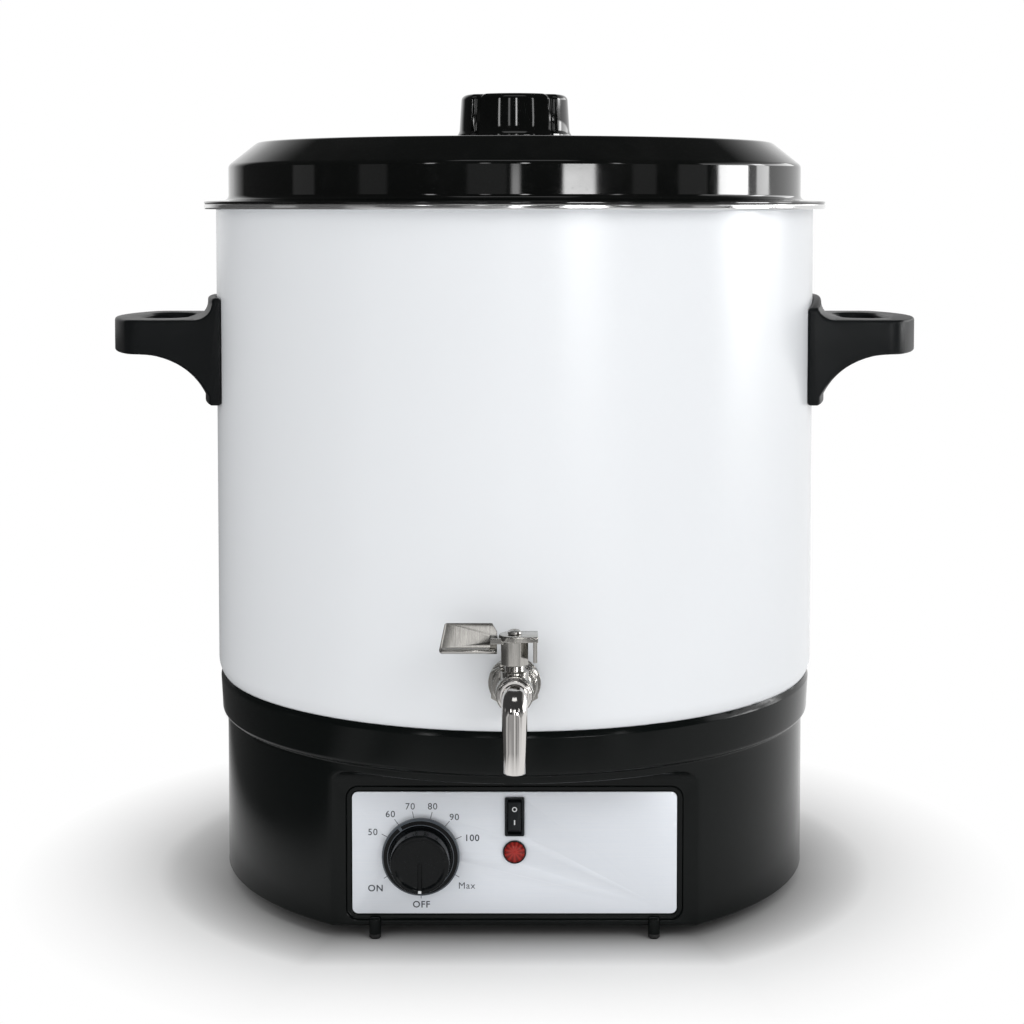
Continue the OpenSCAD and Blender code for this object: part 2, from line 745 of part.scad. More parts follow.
module pot_profile() {
    difference() {
        union() {
            translate([0, pot_z]) square([pot_r - pot_corner_r, pot_wall]);
            intersection() {
                translate([corner_x, corner_z]) circle(pot_corner_r);
                translate([corner_x, pot_z]) square([pot_corner_r, pot_corner_r]);
            }
            translate([inner_r, corner_z]) square([pot_wall, flange_z - pot_wall - rim_flare_r
                - corner_z]);
            translate([inner_r, flange_z - pot_wall - rim_flare_r])
                square([rim_r - trim_t - touch - inner_r, rim_flare_r + pot_wall]);
        }
        translate([corner_x, corner_z]) circle(pot_corner_r - pot_wall);
        translate([pot_r + rim_flare_r, flange_z - pot_wall - rim_flare_r]) circle(rim_flare_r);
        translate([pot_r + rim_flare_r, flange_z - pot_wall - rim_flare_r])
            translate([0, -eps]) square([far, rim_flare_r + eps - (rim_bead - pot_wall)]);
        translate([pot_r + rim_flare_r, flange_z - pot_wall - rim_flare_r])
            square([rim_w - rim_flare_r - trim_t - 1.9, rim_flare_r]);
        difference() {
            translate([inner_r - eps, flange_z - pot_wall - rim_flare_r])
                square([pot_wall + rim_flare_r + eps, pot_wall + rim_flare_r + eps]);
            translate([pot_r + rim_flare_r, flange_z - pot_wall - rim_flare_r])
                circle(rim_flare_r + pot_wall);
        }
    }
}

module handle_screw_places(side) {
    for (a = [-handle_screw_angle, handle_screw_angle]) rotate((side > 0 ? 0 : 180) + a)
        translate([inner_r, 0, screw_z]) rotate([0, 90, 0]) children();
}

module pot() {
    color([0.93, 0.94, 0.95]) difference() {
        rotate_extrude($fn = 180) pot_profile();
        forward(0, 0, tap_z, shank_r + seat_gap, pot_r + 5);
        for (s = [-1, 1]) handle_screw_places(s) translate([0, 0, -5])
            cylinder(r = handle_screw_r + seat_gap, h = 12);
    }
}

module rim_trim() {
    lip = 2.2;
    low_z = flange_z - rim_bead - touch - trim_t;
    color([0.75, 0.75, 0.75]) rotate_extrude($fn = 180) {
        translate([rim_r - trim_t, low_z]) square([trim_t, rim_z - low_z]);
        translate([pot_r + 1.5, flange_z]) square([rim_w - 1.5, trim_t]);
        translate([rim_r - lip, low_z]) square([lip, trim_t]);
    }
}

module pot_seal() {
    color([0.1, 0.1, 0.1]) translate([0, 0, shelf_z]) difference() {
        cylinder(r = shelf_out_r - seat_gap, h = seal_t);
        translate([0, 0, -eps]) cylinder(r = shelf_in_r + 1, h = seal_t + 2 * eps);
    }
}

// ---------------------------------------------------------------- handles

module handle_plan() {
    end_x = grip_end_x - handle_end_r;
    corner_y = handle_w / 2 - handle_corner_r;
    corner_at = end_x + sqrt(pow(handle_end_r - handle_corner_r, 2) - pow(corner_y, 2));
    tangent_y = corner_y * handle_end_r / (handle_end_r - handle_corner_r);
    translate([0, -handle_w / 2]) square([corner_at, handle_w]);
    intersection() {
        translate([end_x, 0]) circle(handle_end_r, $fn = 180);
        translate([pot_r, -tangent_y]) square([far, 2 * tangent_y]);
    }
    for (s = [-1, 1]) translate([corner_at, s * corner_y]) circle(handle_corner_r);
}

module handle_profile() {
    top = grip_z + pad_rise;
    foot_x = pot_r + foot_pad_t;
    difference() {
        translate([pad_r, foot_z - foot_pad_h])
            square([handle_reach + 5, top - foot_z + foot_pad_h]);
        intersection() {
            translate([arch_x, arch_z]) circle(handle_arch_r);
            translate([foot_x, foot_z]) square([far, far]);
        }
        translate([foot_x, foot_z - far]) square([far, far]);
        translate([arch_x, arch_z + handle_arch_r - far]) square([far, far]);
        translate([pad_r + pad_t + pad_cove_r, grip_z + pad_cove_r]) circle(pad_cove_r);
        translate([pad_r + pad_t, grip_z + pad_cove_r]) square([far, far]);
        translate([pad_r + pad_t + pad_cove_r, grip_z]) square([far, far]);
    }
}

module handle() {
    hole_x = grip_end_x - grip_w - finger_w;
    crown_of_r = (pow(handle_w / 2, 2) + pow(pad_crown, 2)) / (2 * pad_crown);
    difference() {
        intersection() {
            rotate_extrude($fn = 180) handle_profile();
            translate([0, 0, grip_z - far / 2]) linear_extrude(far) handle_plan();
            sideways(0, 0, grip_z + pad_rise - crown_of_r, crown_of_r, far, $fn = 180);
        }
        translate([hole_x, 0, 0]) linear_extrude(far) {
            translate([finger_w / 2, 0])
                round_rect(finger_w, finger_l, finger_w / 2 - eps);
        }
        handle_screw_places(1) translate([0, 0, pot_wall]) cylinder(r = handle_screw_r + 0.1,
            h = 15);
    }
}

module handle_right() {
    color([0.04, 0.04, 0.045]) handle();
}

module handle_left() {
    color([0.04, 0.04, 0.045]) rotate(180) handle();
}

module handle_screws() {
    color([0.75, 0.75, 0.76]) for (s = [-1, 1]) handle_screw_places(s)
        translate([0, 0, -handle_seal_t - 0.1])
            pan_screw(handle_screw_r, handle_screw_l, handle_head_r, handle_head_h);
}

module handle_seals() {
    color([0.6, 0.6, 0.58]) for (s = [-1, 1]) handle_screw_places(s)
        translate([0, 0, -handle_seal_t - 0.1]) difference() {
            cylinder(r = handle_head_r + 0.9, h = handle_seal_t);
            translate([0, 0, -eps]) cylinder(r = handle_screw_r + touch, h = far);
        }
}

// ---------------------------------------------------------------- heating

module heater_plate() {
    color([0.75, 0.76, 0.77]) translate([0, 0, heater_z]) difference() {
        cylinder(r = heater_r, h = heater_t);
        translate([0, 0, -eps]) cylinder(r = stud_r + 0.3, h = far);
    }
}

module heating_element() {
    gap_angle = 90 + (360 - element_sweep) / 2;
    color([0.35, 0.35, 0.34]) translate([0, 0, element_z]) {
        rotate(gap_angle) rotate_extrude(angle = element_sweep) translate([element_ring_r, 0])
            circle(element_r);
        for (s = [0, 1]) rotate(gap_angle + s * element_sweep) mirror([0, s, 0])
            translate([element_ring_r, 0, 0]) {
                translate([0, 0.5, -element_bend]) rotate([90, 0, 90]) rotate(90)
                    rotate_extrude(angle = 90) translate([element_bend, 0])
                        circle(element_r - element_neck);
                translate([0, 0.5 - element_bend, -element_bend - element_tail])
                    cylinder(r = element_r, h = element_tail + 0.5);
                translate([0, 0.5 - element_bend, -element_bend - element_tail - 4])
                    cylinder(r = 1.2, h = 5);
            }
    }
}

module heat_shield() {
    color([0.7, 0.71, 0.72]) translate([0, 0, shield_z - shield_t]) difference() {
        cylinder(r = shield_r, h = shield_t + shield_edge_h);
        translate([0, 0, shield_t]) cylinder(r = shield_r - shield_t, h = far);
        translate([0, 0, -eps]) cylinder(r = stud_r + 0.3, h = far);
        translate([-dial_x, -element_ring_r / 2, -eps]) cylinder(r = 4, h = far);
    }
}

module tube(z, h) {
    translate([0, 0, z]) difference() {
        cylinder(r = stud_r + 2.3, h = h);
        translate([0, 0, -eps]) cylinder(r = stud_r + 0.3, h = h + 2 * eps);
    }
}

module shield_spacer() {
    color([0.7, 0.7, 0.7]) tube(shield_z, heater_z - shield_z);
}

module base_spacer() {
    low = base_plate_z + base_plate_t;
    color([0.7, 0.7, 0.7]) tube(low, shield_z - shield_t - low);
}

module centre_stud() {
    low = base_plate_z - nut_h - 1.5;
    color([0.72, 0.72, 0.73]) translate([0, 0, low]) cylinder(r = stud_r, h = pot_z - low);
}

module centre_nut() {
    color([0.72, 0.72, 0.73]) translate([0, 0, base_plate_z - nut_h]) difference() {
        union() {
            hex(nut_af, nut_h);
            translate([0, 0, nut_h - 1]) cylinder(r = nut_af / 2 + 2, h = 1);
        }
        translate([0, 0, -eps]) cylinder(r = stud_r + touch, h = far);
    }
}

module thermostat_capillary() {
    bend = 6;
    hang_y = -element_ring_r / 2;
    bulb_z = heater_z - bulb_r - touch;
    drop_z = dial_z;
    back_y = wall_back_y + thermostat_depth;
    color([0.7, 0.55, 0.4]) {
        sideways(-dial_x + bend + 4, hang_y, bulb_z, bulb_r, bulb_l);
        sideways(-dial_x + bend, hang_y, bulb_z, capillary_r, 5);
        translate([-dial_x + bend, hang_y, bulb_z - bend]) rotate([90, 0, 0]) rotate(90)
            rotate_extrude(angle = 90) translate([bend, 0]) circle(capillary_r);
        translate([-dial_x, hang_y, drop_z + bend])
            cylinder(r = capillary_r, h = bulb_z - drop_z - 2 * bend);
        translate([-dial_x, hang_y - bend, drop_z + bend]) rotate([0, 90, 0])
            rotate_extrude(angle = 90) translate([bend, 0]) circle(capillary_r);
        forward(-dial_x, hang_y - bend, drop_z, capillary_r, hang_y - bend - back_y);
    }
}

module thermal_cutout() {
    color([0.2, 0.2, 0.2]) translate([0, cutout_y, heater_z]) {
        translate([0, 0, -9]) cylinder(r = cutout_r, h = 9);
        for (s = [-1, 1]) translate([s * 4 - 3, -0.4, -15]) cube([6, 0.8, 7]);
    }
}

module terminal_block() {
    color([0.9, 0.9, 0.86])
        translate([-terminal_l / 2, terminal_y, base_plate_z + base_plate_t]) difference() {
        cube([terminal_l, terminal_w, terminal_h]);
        for (i = [-1:1]) translate([terminal_l / 2 + i * 10.5, -eps, 6]) rotate([-90, 0, 0])
            cylinder(r = 2.2, h = far);
        for (i = [-1:1]) translate([terminal_l / 2 + i * 10.5, terminal_w / 2, 6])
            cylinder(r = 1.6, h = far);
    }
}

module cord_gland() {
    color([0.05, 0.05, 0.05]) translate([0, gland_face_y, gland_z]) rotate([-90, 0, 0])
        difference() {
            union() {
                translate([0, 0, gland_face_y * -1 + shell_in_r - 10])
                    cylinder(r = gland_r, h = gland_face_y - shell_in_r + 10 + gland_out / 2);
                hex(2 * gland_r + 5, gland_out / 2);
                translate([0, 0, gland_out / 2])
                    cylinder(r1 = gland_r + 2, r2 = gland_r - 1.5, h = gland_out / 2);
            }
            translate([0, 0, -far / 2]) cylinder(r = gland_bore_r, h = far);
        }
}

module gland_nut() {
    color([0.05, 0.05, 0.05]) translate([0, shell_in_r - 2, gland_z]) rotate([90, 0, 0])
        difference() {
            hex(2 * gland_r + 5, 5);
            translate([0, 0, -eps]) cylinder(r = gland_r + touch, h = far);
        }
}

// ---------------------------------------------------------------- tap

// Turned rings along the tap's axis: [distance from the pot's wall, radius, length]
module ring_at(out, r, l) {
    forward(0, -(pot_r + out), tap_z, r, l);
}

module tap_gasket() {
    color([0.15, 0.15, 0.15]) difference() {
        ring_at(touch, shank_r + 4.5, gasket_t - touch);
        ring_at(-2, shank_r + touch, 10);
    }
}

module tap_washer() {
    color([0.75, 0.75, 0.75]) difference() {
        ring_at(gasket_t, shank_r + 5.5, washer_t);
        ring_at(0, shank_r + touch, 10);
    }
}

module tap_body() {
    hex_out = gasket_t + washer_t;
    ring_out = hex_out + hex_l;
    color([0.78, 0.78, 0.77]) difference() {
        union() {
            ring_at(-nut_l - 5, shank_r, nut_l + 6 + hex_out);
            translate([0, -(pot_r + hex_out), tap_z]) rotate([90, 0, 0]) rotate(30)
                hex(hex_af, hex_l);
            ring_at(ring_out - 1, hex_af / 2 - 0.4, 2.6);
            ring_at(ring_out + 1, chamber_r + 0.4, 1.6);
            ring_at(ring_out + 2.4, chamber_r + 1.6, 1.6);
            ring_at(hex_out + 1, chamber_r - 1.6, chamber_in - hex_out);
            ring_at(chamber_in, chamber_r, 2 * chamber_half);
            translate([0, stem_y, tap_z]) cylinder(r = stem_r + 2.6, h = bonnet_z - tap_z);
            translate([0, stem_y, tap_z + ball_r]) cylinder(r = stem_r + 4.4,
                h = chamber_r - ball_r + 1.2);
            translate([-stem_r - 5.6, stem_y + stem_r + 1, bonnet_z - 2.4])
                cube([3, 4, 2.4]);
            translate([-stem_r - 5.6, stem_y + stem_r - 1.4, tap_z + ball_r])
                cube([3, 6.4, bonnet_z - tap_z - ball_r - 2]);
        }
        ring_at(-20, waterway_r + 1, 20 + chamber_in + 1);
        ring_at(chamber_in + 1, ball_r + 0.6, 2 * chamber_half);
        translate([0, stem_y, tap_z]) cylinder(r = stem_r + touch, h = far);
    }
}

module valve_seats() {
    color([0.95, 0.95, 0.93]) difference() {
        union() {
            ring_at(chamber_in + 1, ball_r + 0.5, 4);
            ring_at(chamber_out - 5, ball_r + 0.5, 4.8);
        }
        ring_at(0, waterway_r + 0.6, far);
        translate([0, stem_y, tap_z]) sphere(ball_r + free_gap);
    }
}

module tap_spout() {
    bend = spout_r + 1.4;
    cap_l = 3;
    turn_y = spout_y + bend;
    reach = -(pot_r + chamber_out) - turn_y;
    color([0.8, 0.8, 0.79]) difference() {
        union() {
            ring_at(chamber_out, chamber_r - 0.8, cap_l * 0.6);
            ring_at(chamber_out + cap_l * 0.6, chamber_r - 1.6, cap_l * 0.4);
            ring_at(chamber_out, spout_r, max(reach, cap_l));
            translate([0, turn_y, tap_z - bend]) rotate([0, 90, 180]) rotate([0, 0, 90])
                rotate_extrude(angle = 90) translate([bend, 0]) circle(spout_r);
            translate([0, spout_y, tap_z - spout_drop])
                cylinder(r1 = spout_end_r, r2 = spout_r, h = spout_drop - bend);
        }
        ring_at(chamber_out - 1, waterway_r + 1, reach + 1);
        translate([0, turn_y, tap_z - bend]) rotate([0, 90, 180]) rotate([0, 0, 90])
            rotate_extrude(angle = 90) translate([bend, 0]) circle(waterway_r + 1);
        translate([0, spout_y, tap_z - spout_drop - eps])
            cylinder(r = waterway_r + 1, h = spout_drop - bend + 2 * eps);
    }
}

module tap_inner_seal() {
    color([0.15, 0.15, 0.15]) difference() {
        ring_at(-pot_wall - 2, shank_r + 4, 1.55);
        ring_at(-10, shank_r + touch, 20);
    }
}

module tap_inner_nut() {
    color([0.78, 0.78, 0.77]) translate([0, -(pot_r - pot_wall - 2), tap_z])
        rotate([-90, 0, 0]) difference() {
            hex(hex_af, nut_l);
            translate([0, 0, -eps]) cylinder(r = shank_r + touch, h = far);
        }
}

module tap_stem() {
    color([0.7, 0.7, 0.7]) translate([0, stem_y, tap_z]) difference() {
        union() {
            sphere(ball_r);
            cylinder(r = stem_r, h = lever_up - lever_t);
        }
        sideways(-far / 2, 0, 0, waterway_r, far);
        translate([0, 0, lever_up - lever_t - 5]) cylinder(r = 1.3, h = 10);
    }
}

module paddle_outline() {
    left = -lever_reach;
    right = -stem_r - 6.2;
    r = 1.5;
    polygon(concat(
        arc(left + 2.4 + r, paddle_h - r, r, 95, 180, 4),
        arc(left + r, r, r, 180, 270, 4),
        [[right, 0], [right, paddle_h * 0.72], [right - 2.5, paddle_h]]));
}

module tap_lever() {
    hub_r = stem_r + 5.2;
    plate_z = lever_z - lever_t;
    color([0.8, 0.8, 0.79]) translate([0, stem_y, 0]) difference() {
        union() {
            translate([0, 0, boss_z]) rotate(22.5) cylinder(r = hub_r - 0.4,
                h = plate_z - boss_z + 1, $fn = 8);
            translate([0, 0, plate_z]) linear_extrude(lever_t) polygon(concat(
                arc(0, 0, hub_r, 90, 270, 24),
                [[hub_r + 4, -hub_r], [hub_r + 4, hub_r]]));
            translate([hub_r + 1.5, 0.5 - hub_r, boss_z + 2]) cube([2.1, 2 * hub_r - 1,
                plate_z - boss_z - 1]);
            translate([-hub_r - 4.5, -4, plate_z - 1.5]) cube([8, 8, lever_t]);
            translate([0, 0, tap_z + 19]) rotate([-paddle_lean, 0, 0]) rotate([90, 0, 0]) {
                linear_extrude(paddle_t) paddle_outline();
                translate([-lever_reach + 1.2, 1, paddle_t])
                    rotate([0, 90, 0]) cylinder(r = 1.3, h = lever_reach - stem_r - 8.4);
            }
        }
        cylinder(r = stem_r + touch, h = lever_z - lever_t);
        cylinder(r = 1.5, h = far);
    }
}

module tap_lever_screw() {
    color([0.75, 0.75, 0.75]) translate([0, stem_y, lever_z]) mirror([0, 0, 1])
        pan_screw(1.25, lever_t + 4, 3.5, 2.2);
}

// ---------------------------------------------------------------- lid

module lid_section() {
    edge_r = 0.7;
    turn_r = 3;
    in_r = side_r - lid_wall;
    polygon(concat(
        [[lid_screw_r + 0.2, knob_z], [knob_r + 4, knob_z], [crown_r, crown_z]],
        arc(side_r - turn_r, shoulder_z - 1.5, turn_r, 50, 0, 5),
        arc(side_r + turn_r, side_z + 1, turn_r, 180, 250, 5),
        arc(rim_r - edge_r, rim_z + edge_r, edge_r, 80, -90, 6),
        [[skirt_r, rim_z], [skirt_r, rim_z - lid_skirt_h],
            [skirt_r - lid_wall, rim_z - lid_skirt_h], [skirt_r - lid_wall, rim_z + lid_wall / 2],
            [in_r, side_z - lid_wall]],
        [[in_r, shoulder_z - lid_wall], [crown_r - lid_wall * 0.4, crown_z - lid_wall],
            [knob_r + 4, knob_z - lid_wall], [lid_screw_r + 0.2, knob_z - lid_wall]]));
}

module lid_shell() {
    color([0.02, 0.02, 0.022]) rotate_extrude($fn = 180) lid_section();
}

module lid_knob() {
    cut_at = knob_r + flute_r - flute_depth;
    color([0.02, 0.02, 0.022]) translate([0, 0, knob_z]) difference() {
        rotate_extrude() polygon(concat(
            [[0, 0], [knob_r + knob_foot, 0], [knob_r + knob_foot, 1.2],
                [knob_r + 0.6, 3.2]],
            arc(knob_r - knob_edge_r - 0.8, knob_h - knob_edge_r - 0.8, knob_edge_r, 0, 80, 6),
            [[knob_r * 0.5, knob_h - 0.1], [0, knob_h]]));
        for (i = [0:flute_count - 1]) rotate(45 + i * 360 / flute_count)
            translate([cut_at, 0, 2]) cylinder(r = flute_r, h = knob_h);
        difference() {
            translate([0, 0, -eps]) cylinder(r = knob_r - 8, h = knob_h - 6);
            cylinder(r = lid_screw_r + 4, h = knob_h);
        }
        translate([0, 0, -eps]) cylinder(r = lid_screw_r + 0.1, h = 14);
    }
}

module knob_washer() {
    color([0.75, 0.75, 0.76]) translate([0, 0, knob_z - lid_wall - 1]) difference() {
        cylinder(r = 9, h = 1);
        translate([0, 0, -eps]) cylinder(r = lid_screw_r + 0.2, h = 2);
    }
}

module knob_screw() {
    color([0.75, 0.75, 0.76]) translate([0, 0, knob_z - lid_wall - 1])
        pan_screw(lid_screw_r, lid_wall + 11, 4, 2.4);
}

base_shell();
base_plate();
base_screws();
foot_tips();
panel_plate();
pot_seal();
pot();
rim_trim();
handle_left();
handle_right();
handle_screws();
handle_seals();
heater_plate();
heating_element();
heat_shield();
shield_spacer();
base_spacer();
centre_stud();
centre_nut();
thermostat_body();
thermostat_screws();
thermostat_capillary();
thermal_cutout();
switch_housing();
pilot_housing();
pilot_lens();
pilot_clip();
terminal_block();
cord_gland();
gland_nut();
tap_gasket();
tap_washer();
tap_body();
tap_spout();
valve_seats();
tap_inner_seal();
tap_inner_nut();
lid_shell();
lid_knob();
knob_washer();
knob_screw();
tap_lever();
tap_stem();
tap_lever_screw();
thermostat_dial();
thermostat_spindle();
switch_rocker();
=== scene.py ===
"""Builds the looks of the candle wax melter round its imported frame: an enamelled pot with a
lid, two handles and a lever tap, on a moulded base with a control panel."""

import json
import math

import bmesh
import bpy
from bpy.props import (
    FloatProperty, FloatVectorProperty, IntProperty, PointerProperty,
)
from mathutils import Matrix, Vector


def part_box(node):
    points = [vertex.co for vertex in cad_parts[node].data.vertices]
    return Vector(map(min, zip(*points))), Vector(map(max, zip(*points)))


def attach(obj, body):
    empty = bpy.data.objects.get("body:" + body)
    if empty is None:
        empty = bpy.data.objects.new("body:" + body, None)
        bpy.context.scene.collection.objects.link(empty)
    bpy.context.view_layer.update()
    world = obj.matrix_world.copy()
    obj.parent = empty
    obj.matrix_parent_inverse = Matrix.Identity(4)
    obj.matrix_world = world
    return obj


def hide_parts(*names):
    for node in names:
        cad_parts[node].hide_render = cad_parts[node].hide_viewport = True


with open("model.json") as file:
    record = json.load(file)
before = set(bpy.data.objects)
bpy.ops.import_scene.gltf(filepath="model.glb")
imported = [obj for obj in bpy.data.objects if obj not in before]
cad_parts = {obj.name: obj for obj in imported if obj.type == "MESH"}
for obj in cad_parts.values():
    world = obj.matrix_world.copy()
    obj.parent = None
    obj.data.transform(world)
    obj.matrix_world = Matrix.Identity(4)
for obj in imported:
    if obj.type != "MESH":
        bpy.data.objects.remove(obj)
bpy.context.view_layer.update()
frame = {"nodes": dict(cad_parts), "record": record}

bl_info = {
    "name": "Candle Wax Melter",
    "version": (1, 0, 0),
    "blender": (4, 5, 0),
    "location": "View3D > Sidebar > Wax Melter",
    "description": "Builds an electric candle wax melter round its packed frame",
    "category": "Object",
}

ROOT = "melter"


# ---------------------------------------------------------------- shader groups

class Tree:
    """Short calls for a node tree: new nodes, links and set values."""

    def __init__(self, tree):
        self.tree = tree
        self.nodes = tree.nodes

    def new(self, kind, sockets=None, **settings):
        node = self.nodes.new(kind)
        for name, value in settings.items():
            setattr(node, name, value)
        for name, value in (sockets or {}).items():
            socket = node.inputs[name]
            if isinstance(value, bpy.types.NodeSocket):
                self.tree.links.new(value, socket)
            else:
                socket.default_value = value
        return node

    def link(self, a, b):
        self.tree.links.new(a, b)

    def math(self, operation, a, b=0.0, c=0.0, clamp=False):
        node = self.new("ShaderNodeMath", operation=operation, use_clamp=clamp)
        for i, value in enumerate((a, b, c)):
            if isinstance(value, bpy.types.NodeSocket):
                self.link(value, node.inputs[i])
            else:
                node.inputs[i].default_value = value
        return node.outputs[0]

    def vector(self, operation, *vectors):
        node = self.new("ShaderNodeVectorMath", operation=operation)
        for socket, value in zip(node.inputs, vectors):
            self.link(value, socket)
        return node.outputs["Value" if operation in ("LENGTH", "DOT_PRODUCT") else "Vector"]

    def split(self, vector):
        return self.new("ShaderNodeSeparateXYZ", {"Vector": vector}).outputs

    def remap(self, value, low, high, out_low, out_high):
        node = self.new("ShaderNodeMapRange", {
            "Value": value, "From Min": low, "From Max": high,
            "To Min": out_low, "To Max": out_high})
        return node.outputs["Result"]

    def mix(self, factor, a, b):
        node = self.new("ShaderNodeMix", data_type="RGBA")
        for name, value in (("Factor", factor), ("A", a), ("B", b)):
            socket = next(s for s in node.inputs if s.name == name and s.enabled)
            if isinstance(value, bpy.types.NodeSocket):
                self.link(value, socket)
            elif name == "Factor":
                socket.default_value = value
            else:
                socket.default_value = (*value[:3], 1.0)
        return next(s for s in node.outputs if s.enabled)

    def noise(self, vector, scale, detail=3.0, roughness=0.55):
        return self.new("ShaderNodeTexNoise", {
            "Vector": vector, "Scale": scale, "Detail": detail,
            "Roughness": roughness}).outputs["Fac"]


def shader_group(name, inputs, outputs):
    """A node group with named sockets; inputs maps a name to (kind, default)."""
    group = bpy.data.node_groups.new(name, "ShaderNodeTree")
    for label, (kind, default) in inputs.items():
        socket = group.interface.new_socket(label, in_out="INPUT", socket_type=kind)
        if default is not None:
            socket.default_value = default
    for label, kind in outputs.items():
        group.interface.new_socket(label, in_out="OUTPUT", socket_type=kind)
    tree = Tree(group)
    return tree, tree.new("NodeGroupInput"), tree.new("NodeGroupOutput")


FLOAT, VECTOR = "NodeSocketFloat", "NodeSocketVector"


def build_lacquer_ripple():
    """The long, shallow waves that a glossy coat dries or fires with."""
    tree, got, out = shader_group("lacquer_ripple", {
        "Vector": (VECTOR, None), "Wave Scale": (FLOAT, 60.0), "Fine Scale": (FLOAT, 900.0),
        "Fine Share": (FLOAT, 0.25)}, {"Height": FLOAT})
    wave = tree.noise(got.outputs["Vector"], got.outputs["Wave Scale"], 1.0)
    fine = tree.noise(got.outputs["Vector"], got.outputs["Fine Scale"], 2.0)
    total = tree.math("MULTIPLY_ADD", fine, got.outputs["Fine Share"], wave)
    tree.link(total, out.inputs["Height"])


def build_mould_grain():
    """The fine spark-eroded grain of moulded plastic and its slow change of gloss."""
    tree, got, out = shader_group("mould_grain", {
        "Vector": (VECTOR, None), "Grain Scale": (FLOAT, 2600.0), "Patch Scale": (FLOAT, 18.0)},
        {"Height": FLOAT, "Patches": FLOAT})
    grain = tree.noise(got.outputs["Vector"], got.outputs["Grain Scale"], 3.0, 0.6)
    patches = tree.noise(got.outputs["Vector"], got.outputs["Patch Scale"], 4.0, 0.6)
    tree.link(grain, out.inputs["Height"])
    tree.link(tree.remap(patches, 0.35, 0.68, 0.0, 1.0), out.inputs["Patches"])


def build_brushed_lines():
    """Fine lines drawn out along one direction, for rolled, turned and polished metal."""
    tree, got, out = shader_group("brushed_lines", {
        "Vector": (VECTOR, None), "Stretch": (VECTOR, (1.0, 1.0, 30.0)),
        "Line Scale": (FLOAT, 120.0)}, {"Lines": FLOAT, "Height": FLOAT})
    stretched = tree.vector("MULTIPLY", got.outputs["Vector"], got.outputs["Stretch"])
    coarse = tree.noise(stretched, got.outputs["Line Scale"], 4.0, 0.7)
    scale = tree.math("MULTIPLY", got.outputs["Line Scale"], 4.0)
    fine = tree.noise(stretched, scale, 3.0, 0.7)
    both = tree.math("MULTIPLY_ADD", fine, 0.5, coarse)
    tree.link(tree.remap(both, 0.5, 1.0, 0.0, 1.0), out.inputs["Lines"])
    tree.link(both, out.inputs["Height"])


def build_handling_marks():
    """Faint dust and finger smudges: a mask that raises roughness in soft blotches."""
    tree, got, out = shader_group("handling_marks", {
        "Vector": (VECTOR, None), "Smudge Scale": (FLOAT, 14.0), "Dust Scale": (FLOAT, 420.0),
        "Dust Share": (FLOAT, 0.35)}, {"Mask": FLOAT})
    smudge = tree.noise(got.outputs["Vector"], got.outputs["Smudge Scale"], 5.0, 0.65)
    smudge = tree.remap(smudge, 0.48, 0.72, 0.0, 1.0)
    dust = tree.noise(got.outputs["Vector"], got.outputs["Dust Scale"], 2.0, 0.5)
    dust = tree.remap(dust, 0.62, 0.75, 0.0, 1.0)
    mask = tree.math("MULTIPLY_ADD", dust, got.outputs["Dust Share"], smudge, clamp=True)
    tree.link(mask, out.inputs["Mask"])


def build_edge_wear():
    """A mask of the outer edges, broken up by noise, where a finish rubs bright."""
    tree, got, out = shader_group("edge_wear", {
        "Vector": (VECTOR, None), "Reach": (FLOAT, 0.0006), "Break Scale": (FLOAT, 240.0)},
        {"Mask": FLOAT})
    rounded = tree.new("ShaderNodeBevel", {"Radius": got.outputs["Reach"]}, samples=4)
    plain = tree.new("ShaderNodeNewGeometry")
    same = tree.vector("DOT_PRODUCT", rounded.outputs["Normal"], plain.outputs["Normal"])
    bent = tree.remap(same, 0.995, 0.86, 0.0, 1.0)
    broken = tree.noise(got.outputs["Vector"], got.outputs["Break Scale"], 4.0, 0.7)
    broken = tree.remap(broken, 0.42, 0.62, 0.0, 1.0)
    tree.link(tree.math("MULTIPLY", bent, broken, clamp=True), out.inputs["Mask"])


def build_lens_facets():
    """Facets fanned out round a point in the XZ plane, and a mask for a painted highlight in the
    middle.
    """
    tree, got, out = shader_group("lens_facets", {
        "Vector": (VECTOR, None), "Centre": (VECTOR, None), "Facets": (FLOAT, 11.0),
        "Core": (FLOAT, 0.0036)}, {"Facets": FLOAT, "Core": FLOAT})
    part = tree.split(tree.vector("SUBTRACT", got.outputs["Vector"], got.outputs["Centre"]))
    flat = tree.new("ShaderNodeCombineXYZ", {"X": part["X"], "Z": part["Z"]})
    away = tree.vector("LENGTH", flat.outputs[0])
    turn = tree.math("ARCTAN2", part["Z"], part["X"])
    wave = tree.math("SINE", tree.math("MULTIPLY", turn, got.outputs["Facets"]))
    # Facets: a mask of alternate facets, which the lens paints darker and lighter as shade and
    # light; Core: the painted highlight's mask
    tree.link(tree.remap(wave, -0.6, 0.8, 0.0, 1.0), out.inputs["Facets"])
    tree.link(tree.remap(away, 0.0, got.outputs["Core"], 0.75, 0.0), out.inputs["Core"])


# ---------------------------------------------------------------- materials

